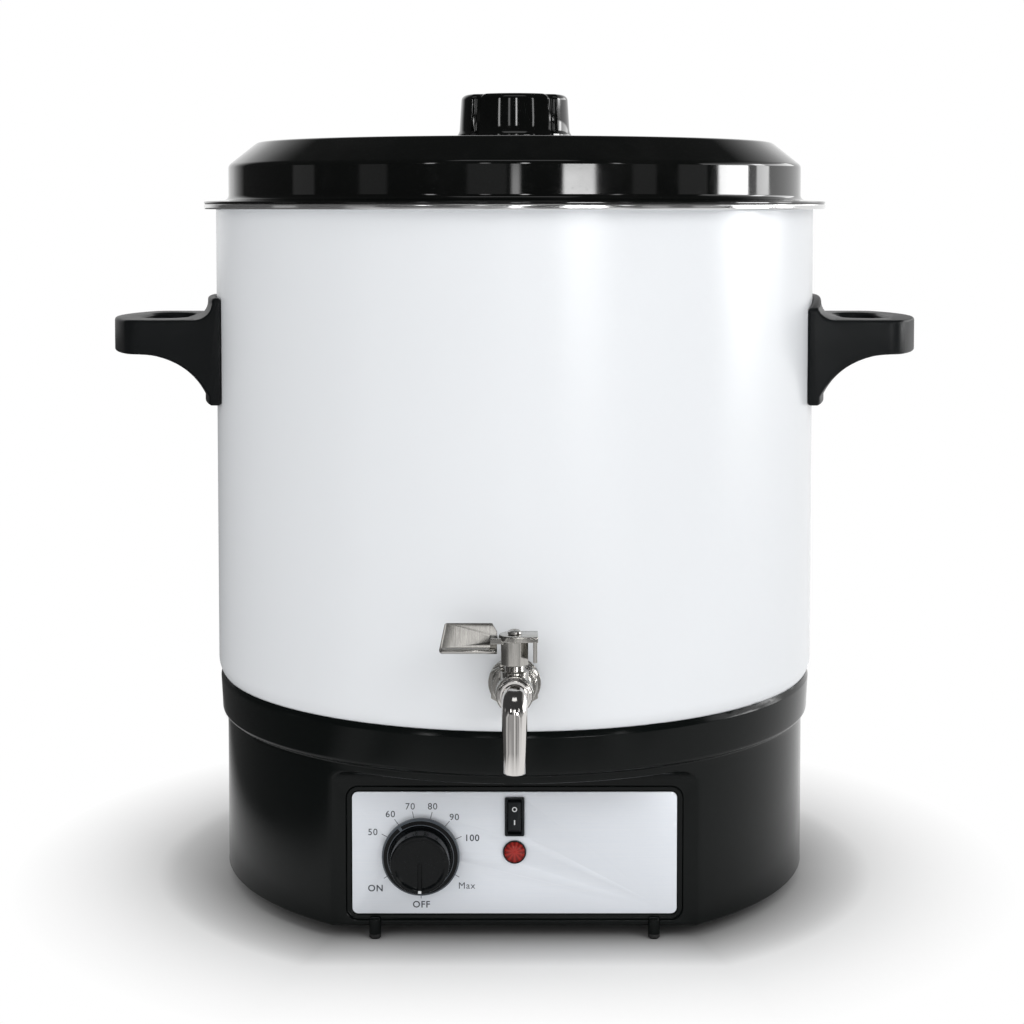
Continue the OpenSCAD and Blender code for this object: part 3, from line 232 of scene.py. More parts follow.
class Finish:
    """A material being built: its tree, object coordinates and Principled shader."""

    def __init__(self, name, colour, **constants):
        material = bpy.data.materials.new(name)
        material.use_nodes = True
        self.tree = Tree(material.node_tree)
        self.tree.nodes.clear()
        self.shader = self.tree.new("ShaderNodeBsdfPrincipled")
        output = self.tree.new("ShaderNodeOutputMaterial")
        self.tree.link(self.shader.outputs["BSDF"], output.inputs["Surface"])
        self.coords = self.tree.new("ShaderNodeTexCoord").outputs["Object"]
        self.shader.inputs["Base Color"].default_value = (*colour, 1.0)
        for name, value in constants.items():
            self.shader.inputs[name.replace("_", " ")].default_value = value

    def group(self, name, **values):
        node = self.tree.new("ShaderNodeGroup", node_tree=bpy.data.node_groups[name])
        self.tree.link(self.coords, node.inputs["Vector"])
        for label, value in values.items():
            node.inputs[label.replace("_", " ")].default_value = value
        return node.outputs

    def feed(self, name, socket):
        self.tree.link(socket, self.shader.inputs[name])

    def close(self, base, rough, height, depth):
        """Feeds the shader its colour, its roughness and a bump of some depth."""
        bump = self.tree.new("ShaderNodeBump", {"Height": height, "Distance": depth})
        self.feed("Base Color", base)
        self.feed("Roughness", rough)
        self.feed("Normal", bump.outputs["Normal"])

    def spread(self, value, low, high):
        """Turns a mask of 0 to 1 into low to high."""
        return self.tree.remap(value, 0.0, 1.0, low, high)


def enamel_finish(name, colour):
    """Fired white enamel: a hard gloss over faint waves, a little greyer in patches."""
    look = Finish(name, colour, Specular_IOR_Level=0.42)
    ripple = look.group("lacquer_ripple", Wave_Scale=26.0, Fine_Scale=700.0, Fine_Share=0.1)
    marks = look.group("handling_marks", Smudge_Scale=9.0)
    tone = look.tree.noise(look.coords, 5.0, 3.0)
    tone = look.tree.remap(tone, 0.35, 0.7, 0.0, 0.5)
    greyer = tuple(0.965 * c for c in colour)
    look.close(look.tree.mix(tone, colour, greyer), look.spread(marks["Mask"], 0.25, 0.27),
               ripple["Height"], 0.00006)


def lacquer_finish(name, colour, low, high, ripple_depth, wave, shine):
    """Deep black gloss, as on the lid, with faint smudges and dust."""
    look = Finish(name, colour, Specular_IOR_Level=shine)
    ripple = look.group("lacquer_ripple", Wave_Scale=wave, Fine_Scale=1200.0, Fine_Share=0.06)
    marks = look.group("handling_marks", Smudge_Scale=16.0, Dust_Share=0.5)
    dusty = tuple(c + 0.003 for c in colour)
    look.close(look.tree.mix(marks["Mask"], colour, dusty),
               look.spread(marks["Mask"], low, high), ripple["Height"], ripple_depth)


def plastic_finish(name, colour, low, high, depth, grain=1500.0, wear=0.12):
    """Moulded plastic with a fine grain, paler where its edges are rubbed."""
    look = Finish(name, colour, Specular_IOR_Level=0.14)
    skin = look.group("mould_grain", Grain_Scale=grain)
    worn = look.group("edge_wear", Reach=0.0008)
    paler = tuple(min(1.0, c * 2.2 + 0.02) for c in colour)
    share = look.tree.math("MULTIPLY", worn["Mask"], wear)
    look.close(look.tree.mix(share, colour, paler), look.spread(skin["Patches"], low, high),
               skin["Height"], depth)


def metal_finish(name, colour, low, high, stretch, lines, depth=0.000015):
    """Steel, aluminium or brass with drawn lines, smudges and bright edges."""
    look = Finish(name, colour, Metallic=1.0)
    drawn = look.group("brushed_lines", Stretch=stretch, Line_Scale=lines)
    marks = look.group("handling_marks", Smudge_Scale=40.0, Dust_Share=0.2)
    worn = look.group("edge_wear", Reach=0.0005, Break_Scale=500.0)
    darker = tuple(c * 0.82 for c in colour)
    brighter = tuple(min(1.0, c * 1.12) for c in colour)
    toned = look.tree.mix(drawn["Lines"], darker, colour)
    rough = look.tree.math("MULTIPLY_ADD", marks["Mask"], 0.05,
                           look.spread(drawn["Lines"], high, low))
    look.close(look.tree.mix(worn["Mask"], toned, brighter), rough, drawn["Height"], depth)


def foil_finish(name, colour):
    """The control plate: pale satin silver with a fine sideways brush."""
    look = Finish(name, colour, Metallic=0.15, Specular_IOR_Level=0.4)
    drawn = look.group("brushed_lines", Stretch=(0.06, 1.0, 6.0), Line_Scale=260.0)
    marks = look.group("handling_marks", Smudge_Scale=20.0)
    cooler = (colour[0] * 0.95, colour[1] * 0.965, colour[2] * 0.985)
    look.close(look.tree.mix(drawn["Lines"], cooler, colour),
               look.spread(marks["Mask"], 0.34, 0.42), drawn["Height"], 0.000006)


def rubber_finish(name, colour):
    """Soft rubber or silicone: matt, faintly mottled and dusty."""
    look = Finish(name, colour, Specular_IOR_Level=0.3)
    grain = look.group("mould_grain", Grain_Scale=900.0, Patch_Scale=60.0)
    marks = look.group("handling_marks", Smudge_Scale=60.0, Dust_Share=0.8)
    dusty = tuple(min(1.0, c + 0.03) for c in colour)
    share = look.tree.math("MULTIPLY", marks["Mask"], 0.5)
    look.close(look.tree.mix(share, colour, dusty), look.spread(grain["Patches"], 0.68, 0.85),
               grain["Height"], 0.00006)


def lens_finish(name, colour, centre):
    """The pilot light's red lens, clear and deep: facets fanned out from its middle are painted
    darker and lighter as shade and light, and its middle gets a painted highlight.
    """
    look = Finish(name, colour, Specular_IOR_Level=0.25)
    fan = look.group("lens_facets", Centre=centre)
    darker = tuple(c * 0.5 for c in colour)
    brighter = tuple(min(1.0, c * 1.5 + 0.012) for c in colour)
    # Painted shade and light: the facets alternate between darker and full red by their angle
    base = look.tree.mix(fan["Facets"], darker, colour)
    # Painted highlight: the middle of the lens is lighter red
    look.close(look.tree.mix(fan["Core"], base, brighter),
               look.spread(fan["Facets"], 0.10, 0.20), fan["Facets"], 0.0001)


def ink_finish(name, colour):
    """Screen-printed ink, a touch uneven."""
    look = Finish(name, colour, Specular_IOR_Level=0.4)
    marks = look.group("handling_marks", Smudge_Scale=300.0, Dust_Scale=1500.0)
    paler = tuple(min(1.0, c + 0.02) for c in colour)
    look.close(look.tree.mix(marks["Mask"], colour, paler),
               look.spread(marks["Mask"], 0.38, 0.5), marks["Mask"], 0.000005)


def porcelain_finish(name, colour):
    """Unglazed terminal porcelain and pressed sealing rings: pale, matt and speckled."""
    look = Finish(name, colour, Specular_IOR_Level=0.4)
    grain = look.group("mould_grain", Grain_Scale=1100.0, Patch_Scale=90.0)
    darker = tuple(c * 0.9 for c in colour)
    look.close(look.tree.mix(grain["Patches"], colour, darker),
               look.spread(grain["Patches"], 0.5, 0.65), grain["Height"], 0.00005)


# ---------------------------------------------------------------- mesh helpers

def mm(*values):
    """Millimetres to metres."""
    return tuple(v / 1000 for v in values)


STRAIGHT = 0.02     # a bend below this, in radians, isn't rounded


def rounded(corners, segments=8):
    """A polyline through (x, y, radius) corners, each turned on an arc of its radius."""
    line = []
    count = len(corners)
    for i, (x, y, radius) in enumerate(corners):
        here = Vector((x, y))
        before = Vector(corners[i - 1][:2]) - here
        after = Vector(corners[(i + 1) % count][:2]) - here
        turn = before.angle(after, 0.0)
        if radius <= 0 or turn < STRAIGHT or math.pi - turn < STRAIGHT:
            line.append(here)
            continue
        cut = min(radius / math.tan(turn / 2), before.length * 0.49, after.length * 0.49)
        start, end = here + before.normalized() * cut, here + after.normalized() * cut
        real = cut * math.tan(turn / 2)
        centre = here + (before.normalized() + after.normalized()).normalized() \
            * (real / math.sin(turn / 2))
        a, b = start - centre, end - centre
        sweep = a.angle(b)
        steps = max(2, math.ceil(segments * sweep / (math.pi / 2)))
        for k in range(steps + 1):
            share = k / steps
            near, far = math.sin((1 - share) * sweep), math.sin(share * sweep)
            line.append(centre + (a * near + b * far) / math.sin(sweep))
    return line


def kept(bm, name):
    """Keeps a bmesh as a new mesh."""
    mesh = bpy.data.meshes.new(name)
    bm.to_mesh(mesh)
    bm.free()
    return mesh


def rings_to_mesh(name, rings, closed=False):
    """Joins rings of points into one skin. A ring of one point is a pole."""
    bm = bmesh.new()
    made = [[bm.verts.new(p) for p in ring] for ring in rings]
    pairs = list(zip(made, made[1:])) + ([(made[-1], made[0])] if closed else [])
    for low, high in pairs:
        count = max(len(low), len(high))
        for i in range(count):
            j = (i + 1) % count
            corners = [low[i % len(low)], low[j % len(low)], high[j % len(high)],
                       high[i % len(high)]]
            seen = []
            for v in corners:
                if v not in seen:
                    seen.append(v)
            if len(seen) > 2:
                bm.faces.new(seen)
    bmesh.ops.remove_doubles(bm, verts=bm.verts, dist=2e-7)
    bmesh.ops.dissolve_degenerate(bm, edges=bm.edges, dist=2e-7)
    bmesh.ops.recalc_face_normals(bm, faces=bm.faces)
    if bm.calc_volume(signed=True) < 0:
        bmesh.ops.reverse_faces(bm, faces=bm.faces)
    return kept(bm, name)


def turned(name, corners, segments=192, arc_segments=8):
    """A body of revolution about Z from (r, z, corner radius) corners in millimetres."""
    rings = []
    for r, z in rounded(corners, arc_segments):
        if r < 1e-6:
            rings.append([Vector(mm(0, 0, z))])
        else:
            rings.append([Vector(mm(r * math.cos(math.tau * i / segments),
                                    r * math.sin(math.tau * i / segments), z))
                          for i in range(segments)])
    return rings_to_mesh(name, rings, closed=rings[0] != rings[-1])


def place(mesh, matrix):
    mesh.transform(matrix)
    if matrix.determinant() < 0:
        mesh.flip_normals()
    return mesh


def facing_front(x, y, z):
    """Turns a mesh made along +Z to point at the front (-Y) from a point in millimetres."""
    return Matrix.Translation(mm(x, y, z)) @ Matrix.Rotation(math.radians(90), 4, "X")


def block(name, low, high, radius):
    """A box in millimetres whose corners are round when seen from the front."""
    outline = rounded([(low[0], low[2], radius), (high[0], low[2], radius),
                       (high[0], high[2], radius), (low[0], high[2], radius)], 6)
    rings = [[Vector(mm(x, y, z)) for x, z in outline] for y in (low[1], high[1])]
    bm = bmesh.new()
    made = [[bm.verts.new(p) for p in ring] for ring in rings]
    for i in range(len(outline)):
        j = (i + 1) % len(outline)
        bm.faces.new((made[0][i], made[0][j], made[1][j], made[1][i]))
    bm.faces.new(made[0])
    bm.faces.new(made[1])
    bmesh.ops.recalc_face_normals(bm, faces=bm.faces)
    return kept(bm, name)


def new_object(name, mesh, material):
    obj = bpy.data.objects.new(name, mesh)
    bpy.context.scene.collection.objects.link(obj)
    mesh.materials.clear()
    mesh.materials.append(bpy.data.materials[material])
    return obj


def turned_piece(name, material, corners, segments, arc_segments, where=None):
    """A turned body as an object, moved to its place."""
    mesh = turned(name, corners, segments, arc_segments)
    return new_object(name, mesh if where is None else place(mesh, where), material)


def bake_modifiers(obj):
    """Turns an object's modifiers into its plain mesh."""
    graph = bpy.context.evaluated_depsgraph_get()
    mesh = bpy.data.meshes.new_from_object(obj.evaluated_get(graph))
    old = obj.data
    obj.modifiers.clear()
    obj.data = mesh
    mesh.name = obj.name
    bpy.data.meshes.remove(old)
    return obj


def carve(obj, cutters):
    """Cuts closed meshes out of an object."""
    for mesh in cutters:
        tool = bpy.data.objects.new("cutter", mesh)
        bpy.context.scene.collection.objects.link(tool)
        cut = obj.modifiers.new("cut", "BOOLEAN")
        cut.operation, cut.solver, cut.object = "DIFFERENCE", "EXACT", tool
        bake_modifiers(obj)
        bpy.data.objects.remove(tool)
        bpy.data.meshes.remove(mesh)
    return obj


def soften(obj, width, segments=3, angle=30):
    """Rounds an object's sharp edges, in millimetres, and shades it smooth between them."""
    bm = bmesh.new()
    bm.from_mesh(obj.data)
    bmesh.ops.remove_doubles(bm, verts=bm.verts, dist=1e-6)
    bmesh.ops.dissolve_limit(bm, angle_limit=math.radians(0.3), verts=bm.verts,
                             edges=bm.edges)
    bm.to_mesh(obj.data)
    bm.free()
    if width > 0:
        edge = obj.modifiers.new("edges", "BEVEL")
        edge.width, edge.segments = width / 1000, segments
        edge.limit_method, edge.angle_limit = "ANGLE", math.radians(angle)
        edge.use_clamp_overlap = False
        edge.miter_outer = "MITER_ARC"
        bake_modifiers(obj)
    shade(obj, angle)
    return obj


def shade(obj, angle=35):
    obj.data.polygons.foreach_set("use_smooth", [True] * len(obj.data.polygons))
    obj.data.set_sharp_from_angle(angle=math.radians(angle))
    return obj


def give(obj, body, slot, *nodes):
    """Hangs a finished piece on the body it rides on and hides the nodes it stands for; its slot,
    the finish, is not used.
    """
    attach(obj, body)
    if nodes:
        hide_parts(*nodes)
    return obj


def dressed(node, body, material, width, segments=2, angle=30, name=None):
    """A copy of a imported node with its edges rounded, which stands for the node."""
    source = frame["nodes"][node]
    mesh = source.data.copy()
    mesh.transform(source.matrix_world)
    obj = new_object(name or node + "_finished", mesh, material)
    soften(obj, width, segments, angle)
    slot = next(s["material_slot"] for s in frame["record"]["subparts"] if s["node"] == node)
    return give(obj, body, slot, node)


def paint(material, *nodes):
    """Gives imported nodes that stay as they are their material."""
    for node in nodes:
        for slot in frame["nodes"][node].material_slots:
            slot.material = bpy.data.materials[material]


def run_nodes(name, group, values, material):
    """Runs a geometry node group and keeps its result as a plain mesh object."""
    obj = bpy.data.objects.new(name, bpy.data.meshes.new(name))
    bpy.context.scene.collection.objects.link(obj)
    modifier = obj.modifiers.new("pattern", "NODES")
    modifier.node_group = group
    values = {**values, "Material": bpy.data.materials[material]}
    for item in group.interface.items_tree:
        if item.item_type == "SOCKET" and item.in_out == "INPUT" and item.name in values:
            modifier[item.identifier] = values[item.name]
    bake_modifiers(obj)
    return obj


def node_pattern(name, inputs):
    """A geometry node group with named inputs, a material input and one geometry output."""
    group = bpy.data.node_groups.new(name, "GeometryNodeTree")
    group.is_modifier = True
    group.interface.new_socket("Geometry", in_out="INPUT", socket_type="NodeSocketGeometry")
    for label, (kind, default) in inputs.items():
        socket = group.interface.new_socket(label, in_out="INPUT", socket_type=kind)
        socket.default_value = default
    group.interface.new_socket("Material", in_out="INPUT", socket_type="NodeSocketMaterial")
    group.interface.new_socket("Geometry", in_out="OUTPUT", socket_type="NodeSocketGeometry")
    tree = Tree(group)
    return tree, tree.new("NodeGroupInput").outputs, tree.new("NodeGroupOutput").inputs


def build_ring_pattern():
    """Bars set round a circle in the XY plane, each pointing away from its centre."""
    tree, got, out = node_pattern("bars_round_a_circle", {
        "Count": ("NodeSocketInt", 6), "Radius": (FLOAT, 0.023), "First Angle": (FLOAT, 0.0),
        "Step": (FLOAT, 0.4), "Length": (FLOAT, 0.003), "Width": (FLOAT, 0.0006),
        "Height": (FLOAT, 0.0001)})
    size = tree.new("ShaderNodeCombineXYZ", {
        "X": got["Length"], "Y": got["Width"], "Z": got["Height"]})
    bar = tree.new("GeometryNodeMeshCube", {"Size": size.outputs[0]})
    index = tree.new("GeometryNodeInputIndex")
    angle = tree.math("MULTIPLY_ADD", index.outputs[0], got["Step"], got["First Angle"])
    x = tree.math("MULTIPLY", tree.math("COSINE", angle), got["Radius"])
    y = tree.math("MULTIPLY", tree.math("SINE", angle), got["Radius"])
    where = tree.new("ShaderNodeCombineXYZ", {"X": x, "Y": y})
    points = tree.new("GeometryNodePoints", {
        "Count": got["Count"], "Position": where.outputs[0]})
    turn = tree.new("ShaderNodeCombineXYZ", {"Z": angle})
    spread = tree.new("GeometryNodeInstanceOnPoints", {
        "Points": points.outputs[0], "Instance": bar.outputs["Mesh"],
        "Rotation": turn.outputs[0]})
    solid = tree.new("GeometryNodeRealizeInstances", {"Geometry": spread.outputs[0]})
    coloured = tree.new("GeometryNodeSetMaterial", {
        "Geometry": solid.outputs[0], "Material": got["Material"]})
    tree.link(coloured.outputs[0], out["Geometry"])
    return tree.tree


def join(objects, name):
    """Joins plain mesh objects into the first one."""
    bm = bmesh.new()
    for obj in objects:
        bm.from_mesh(obj.data)
    material = objects[0].data.materials[0].name
    for obj in objects:
        bpy.data.objects.remove(obj)
    return new_object(name, kept(bm, name), material)


# ---------------------------------------------------------------- sizes and colours

def box_mm(node):
    """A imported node's lowest and highest corners, in millimetres."""
    low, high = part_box(node)
    return Vector(low) * 1000, Vector(high) * 1000


pot_low, pot_high = box_mm("pot")
lid_low, lid_high = box_mm("lid_shell")
knob_low, knob_high = box_mm("lid_knob")
base_low, base_high = box_mm("base_shell")
plate_low, plate_high = box_mm("panel_plate")
dial_low, dial_high = box_mm("thermostat_dial")
DIAL_X, DIAL_Z = (dial_low.x + dial_high.x) / 2, (dial_low.z + dial_high.z) / 2
PANEL_Z = (plate_low.z + plate_high.z) / 2

# Sizes in mm that the base's pieces share
FRONT = round(1.6 - plate_high.y, 3)    # the flat front's distance from the pot's axis
SEAM_RADIUS = base_high.x - 3.9         # the round wall below the band
SHELL_WALL = 3.0
LEG_HEIGHT = 3.9                        # from the floor to the shell's lower edge
LEG_RADIUS = 3.2
LEG_X = 74.6                            # the front legs, left and right of the middle
POT_CORNER = 15.0                       # the pot's bottom corner
NEST_RADIUS = 15.3                      # the base's hollow round that corner


def millimetres(name, description, default, low, high):
    return FloatProperty(name=name, description=description, default=default, min=low,
                         max=high, precision=2)


def colour(name, description, default):
    return FloatVectorProperty(name=name, description=description, default=default, size=3,
                               min=0.0, max=1.0, subtype="COLOR")


class PotSettings(bpy.types.PropertyGroup):
    corner: millimetres("Corner radius", "Radius of the pot's bottom corner, in mm", POT_CORNER,
                        8, 17)
    flare: millimetres("Rim flare", "Radius of the flare under the rim, in mm", 4, 2, 5)
    wall: millimetres("Wall", "Thickness of the enamelled steel, in mm", 1.2, 0.8, 2)
    enamel: colour("Enamel", "Colour of the fired enamel", (0.80, 0.82, 0.845))
    steps: IntProperty(name="Segments", description="Faces round the pot", default=256,
                       min=64, max=512)


class LidSettings(bpy.types.PropertyGroup):
    crown_edge: millimetres("Crown edge", "Radius where the crown turns down, in mm", 5, 1, 9)
    shoulder: millimetres("Shoulder", "Radius where the slope meets the side, in mm", 3.5, 1, 5)
    flute: millimetres("Flute radius", "Radius of each finger flute in the knob, in mm", 3.5, 2, 5)
    flutes: IntProperty(name="Flutes", description="Finger flutes round the knob", default=4,
                        min=3, max=8)
    lacquer: colour("Lid", "Colour of the lid and its knob", (0.0022, 0.0026, 0.0024))


class BaseSettings(bpy.types.PropertyGroup):
    edge: millimetres("Edge radius", "Rounding of the moulding's edges, in mm", 0.9, 0.2, 1.2)
    cove: millimetres("Cove", "Radius between the flat front and the ledge, in mm", 8, 4, 10)
    plastic: colour("Base", "Colour of the moulded base", (0.0032, 0.0042, 0.0040))
    rubber: colour("Feet", "Colour of the rubber tips", (0.016, 0.016, 0.016))


class PanelSettings(bpy.types.PropertyGroup):
    foil: colour("Plate", "Colour of the control plate", (0.785, 0.81, 0.85))
    ink: colour("Ink", "Colour of the printed scale", (0.035, 0.042, 0.055))
    letter: millimetres("Letter height", "Height of the scale's capitals, in mm", 3.5, 2, 5)
    tick: millimetres("Tick length", "Length of each tick of the scale, in mm", 3.6, 1, 6)
    lens: colour("Lens", "Colour of the pilot light's lens", (0.33, 0.024, 0.018))


class HandleSettings(bpy.types.PropertyGroup):
    edge: millimetres("Edge radius", "Rounding of the handles' edges, in mm", 1.6, 0.5, 3)
    plastic: colour("Handles", "Colour of the handles", (0.0055, 0.0065, 0.0070))


class TapSettings(bpy.types.PropertyGroup):
    edge: millimetres("Edge radius", "Rounding of the tap's edges, in mm", 0.35, 0.1, 0.6)
    steel: colour("Steel", "Colour of the polished steel", (0.58, 0.565, 0.535))


class StageSettings(bpy.types.PropertyGroup):
    floor: colour("Floor", "Colour of the floor near the object", (0.90, 0.90, 0.90))
    clear: FloatProperty(name="Shadow reach", default=0.125, min=0.05, max=2.0,
                         subtype="DISTANCE", unit="LENGTH",
                         description="Distance from the base where the floor turns white")
    # The tone of the shadow painted into the floor's colour in front of the base
    painted_contact_shadow: FloatProperty(name="Painted contact shadow", default=0.27, min=0.0, max=0.7,
                           description="Tone of the floor close in front of the base")
    key: FloatProperty(name="Key light", description="Power of the main soft light, in W",
                       default=12.0, min=0.0, max=60.0)
    fill: FloatProperty(name="Fill light", description="Power of the second soft light, in W",
                        default=6.0, min=0.0, max=60.0)
    surround: FloatProperty(name="Surround", default=0.68, min=0.0, max=2.0,
                            description="Strength of the even light from all round")
    room: FloatProperty(name="Room", default=0.05, min=0.0, max=1.0,
                        description="How bright the dim room in front looks in polished pieces")


GROUPS = {
    "melter_pot": PotSettings, "melter_lid": LidSettings, "melter_base": BaseSettings,
    "melter_panel": PanelSettings, "melter_handles": HandleSettings,
    "melter_tap": TapSettings, "melter_stage": StageSettings,
}


# ---------------------------------------------------------------- pieces

# Colour, lowest and highest roughness and depth of the grain in metres
PLASTICS = {
    "switch_plastic": ((0.012, 0.014, 0.016), 0.3, 0.42, 0.00002),
    "gland_nylon": ((0.012, 0.012, 0.012), 0.4, 0.5, 0.00003),
    "phenolic": ((0.02, 0.016, 0.013), 0.5, 0.62, 0.00005),
}

# Colour, lowest and highest roughness, how the drawn lines stretch, their scale and depth
METALS = {
    "rim_steel": ((0.60, 0.59, 0.55), 0.16, 0.30, (1.0, 1.0, 60.0), 60.0),
    "screw_steel": ((0.55, 0.54, 0.52), 0.22, 0.36, (1.0, 1.0, 12.0), 300.0),
    "sheet_steel": ((0.50, 0.51, 0.52), 0.35, 0.5, (30.0, 1.0, 1.0), 60.0),
    "nickel_case": ((0.55, 0.53, 0.48), 0.3, 0.42, (1.0, 20.0, 1.0), 80.0),
    "cast_aluminium": ((0.62, 0.63, 0.64), 0.42, 0.58, (1.0, 1.0, 1.0), 300.0, 0.00004),
    "heater_tube": ((0.16, 0.15, 0.14), 0.45, 0.62, (1.0, 1.0, 1.0), 220.0, 0.00003),
    "copper_tube": ((0.60, 0.32, 0.20), 0.25, 0.4, (1.0, 1.0, 8.0), 150.0),
}


class MELTER_OT_finishes(bpy.types.Operator):
    """Build the shader groups and every finish"""
    bl_idname = "melter.finishes"
    bl_label = "Finishes"

    def execute(self, context):
        scene = context.scene
        for build in (build_lacquer_ripple, build_mould_grain, build_brushed_lines,
                      build_handling_marks, build_edge_wear, build_lens_facets):
            build()
        build_ring_pattern()
        steel = tuple(scene.melter_tap.steel)
        panel, base = scene.melter_panel, scene.melter_base
        enamel_finish("white_enamel", tuple(scene.melter_pot.enamel))
        lacquer_finish("lid_gloss", tuple(scene.melter_lid.lacquer), 0.05, 0.12, 0.00003, 18.0,
                       0.5)
        lacquer_finish("dial_gloss", (0.003, 0.0036, 0.004), 0.10, 0.17, 0.00001, 60.0, 0.14)
        # The dial's skirt: the same black moulding painted a lighter blue-grey, a painted sheen
        lacquer_finish("dial_skirt", (0.070, 0.082, 0.096), 0.16, 0.24, 0.00001, 60.0, 0.4)
        plastic_finish("base_gloss", tuple(base.plastic), 0.13, 0.20, 0.000008, 900.0, 0.05)
        plastic_finish("handle_satin", tuple(scene.melter_handles.plastic), 0.34, 0.46, 0.00003)
        for name, values in PLASTICS.items():
            plastic_finish(name, *values)
        # The valve body and the lever are the tap's one steel made darker: painted shade
        for name, share in (("tap_steel", 1.0), ("valve_steel", 0.74), ("lever_steel", 0.84)):
            metal_finish(name, tuple(share * c for c in steel), 0.11, 0.20, (20.0, 1.0, 1.0),
                         90.0, 0.000006)
        for name, values in METALS.items():
            metal_finish(name, *values)
        foil_finish("plate_foil", tuple(panel.foil))
        ink_finish("scale_ink", tuple(panel.ink))
        ink_finish("white_mark", (0.78, 0.79, 0.80))
        low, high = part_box("pilot_lens")
        lens_finish("red_lens", tuple(panel.lens),
                    ((low[0] + high[0]) / 2, 0.0, (low[2] + high[2]) / 2 + 0.0008))
        rubber_finish("black_rubber", tuple(base.rubber))
        rubber_finish("grey_silicone", (0.34, 0.34, 0.33))
        porcelain_finish("terminal_porcelain", (0.74, 0.73, 0.68))
        porcelain_finish("seat_plastic", (0.78, 0.78, 0.76))
        return {"FINISHED"}


class MELTER_OT_pot(bpy.types.Operator):
    """Build the enamelled pot and the steel trim on its rim"""
    bl_idname = "melter.pot"
    bl_label = "Pot"

    def execute(self, context):
        s = context.scene.melter_pot
        trim_low, trim_high = box_mm("rim_trim")
        out, low, top = pot_wall_radius(), pot_low.z, pot_high.z
        edge = pot_high.x
        bead = trim_low.z + 0.65
        inner = out - s.wall
        pot = turned_piece("pot_body", "white_enamel", [
            (0, low + s.wall, 0), (inner, low + s.wall, s.corner - s.wall),
            (inner, top, s.flare + s.wall), (edge, top, 0.3), (edge, bead, 0.3),
            (edge - 1.9, bead, 0.3), (edge - 1.9, top - s.wall, 0.2),
            (out, top - s.wall, s.flare), (out, low, s.corner), (0, low, 0)],
            s.steps, 14)
        give(shade(pot, 40), ROOT, "pot_enamel", "pot")
        reach = trim_high.x
        trim = turned_piece("rim_band", "rim_steel", [
            (trim_inner_radius(), top, 0.1), (trim_inner_radius(), trim_high.z, 0.25),
            (reach, trim_high.z, 0.9), (reach, trim_low.z, 0.9),
            (reach - 2.2, trim_low.z, 0.2), (reach - 2.2, trim_low.z + 0.6, 0.2),
            (reach - 0.6, trim_low.z + 0.6, 0.35), (reach - 0.6, top, 0.2)], s.steps, 8)
        give(shade(trim, 40), ROOT, "rim_steel", "rim_trim")
        return {"FINISHED"}


def pot_wall_radius():
    """The pot's outside radius: its washer lies against the wall, 2 mm out."""
    return -box_mm("tap_gasket")[1].y - 0.05


def trim_inner_radius():
    """The inner radius of the trim's flat top."""
    return pot_wall_radius() + 1.5


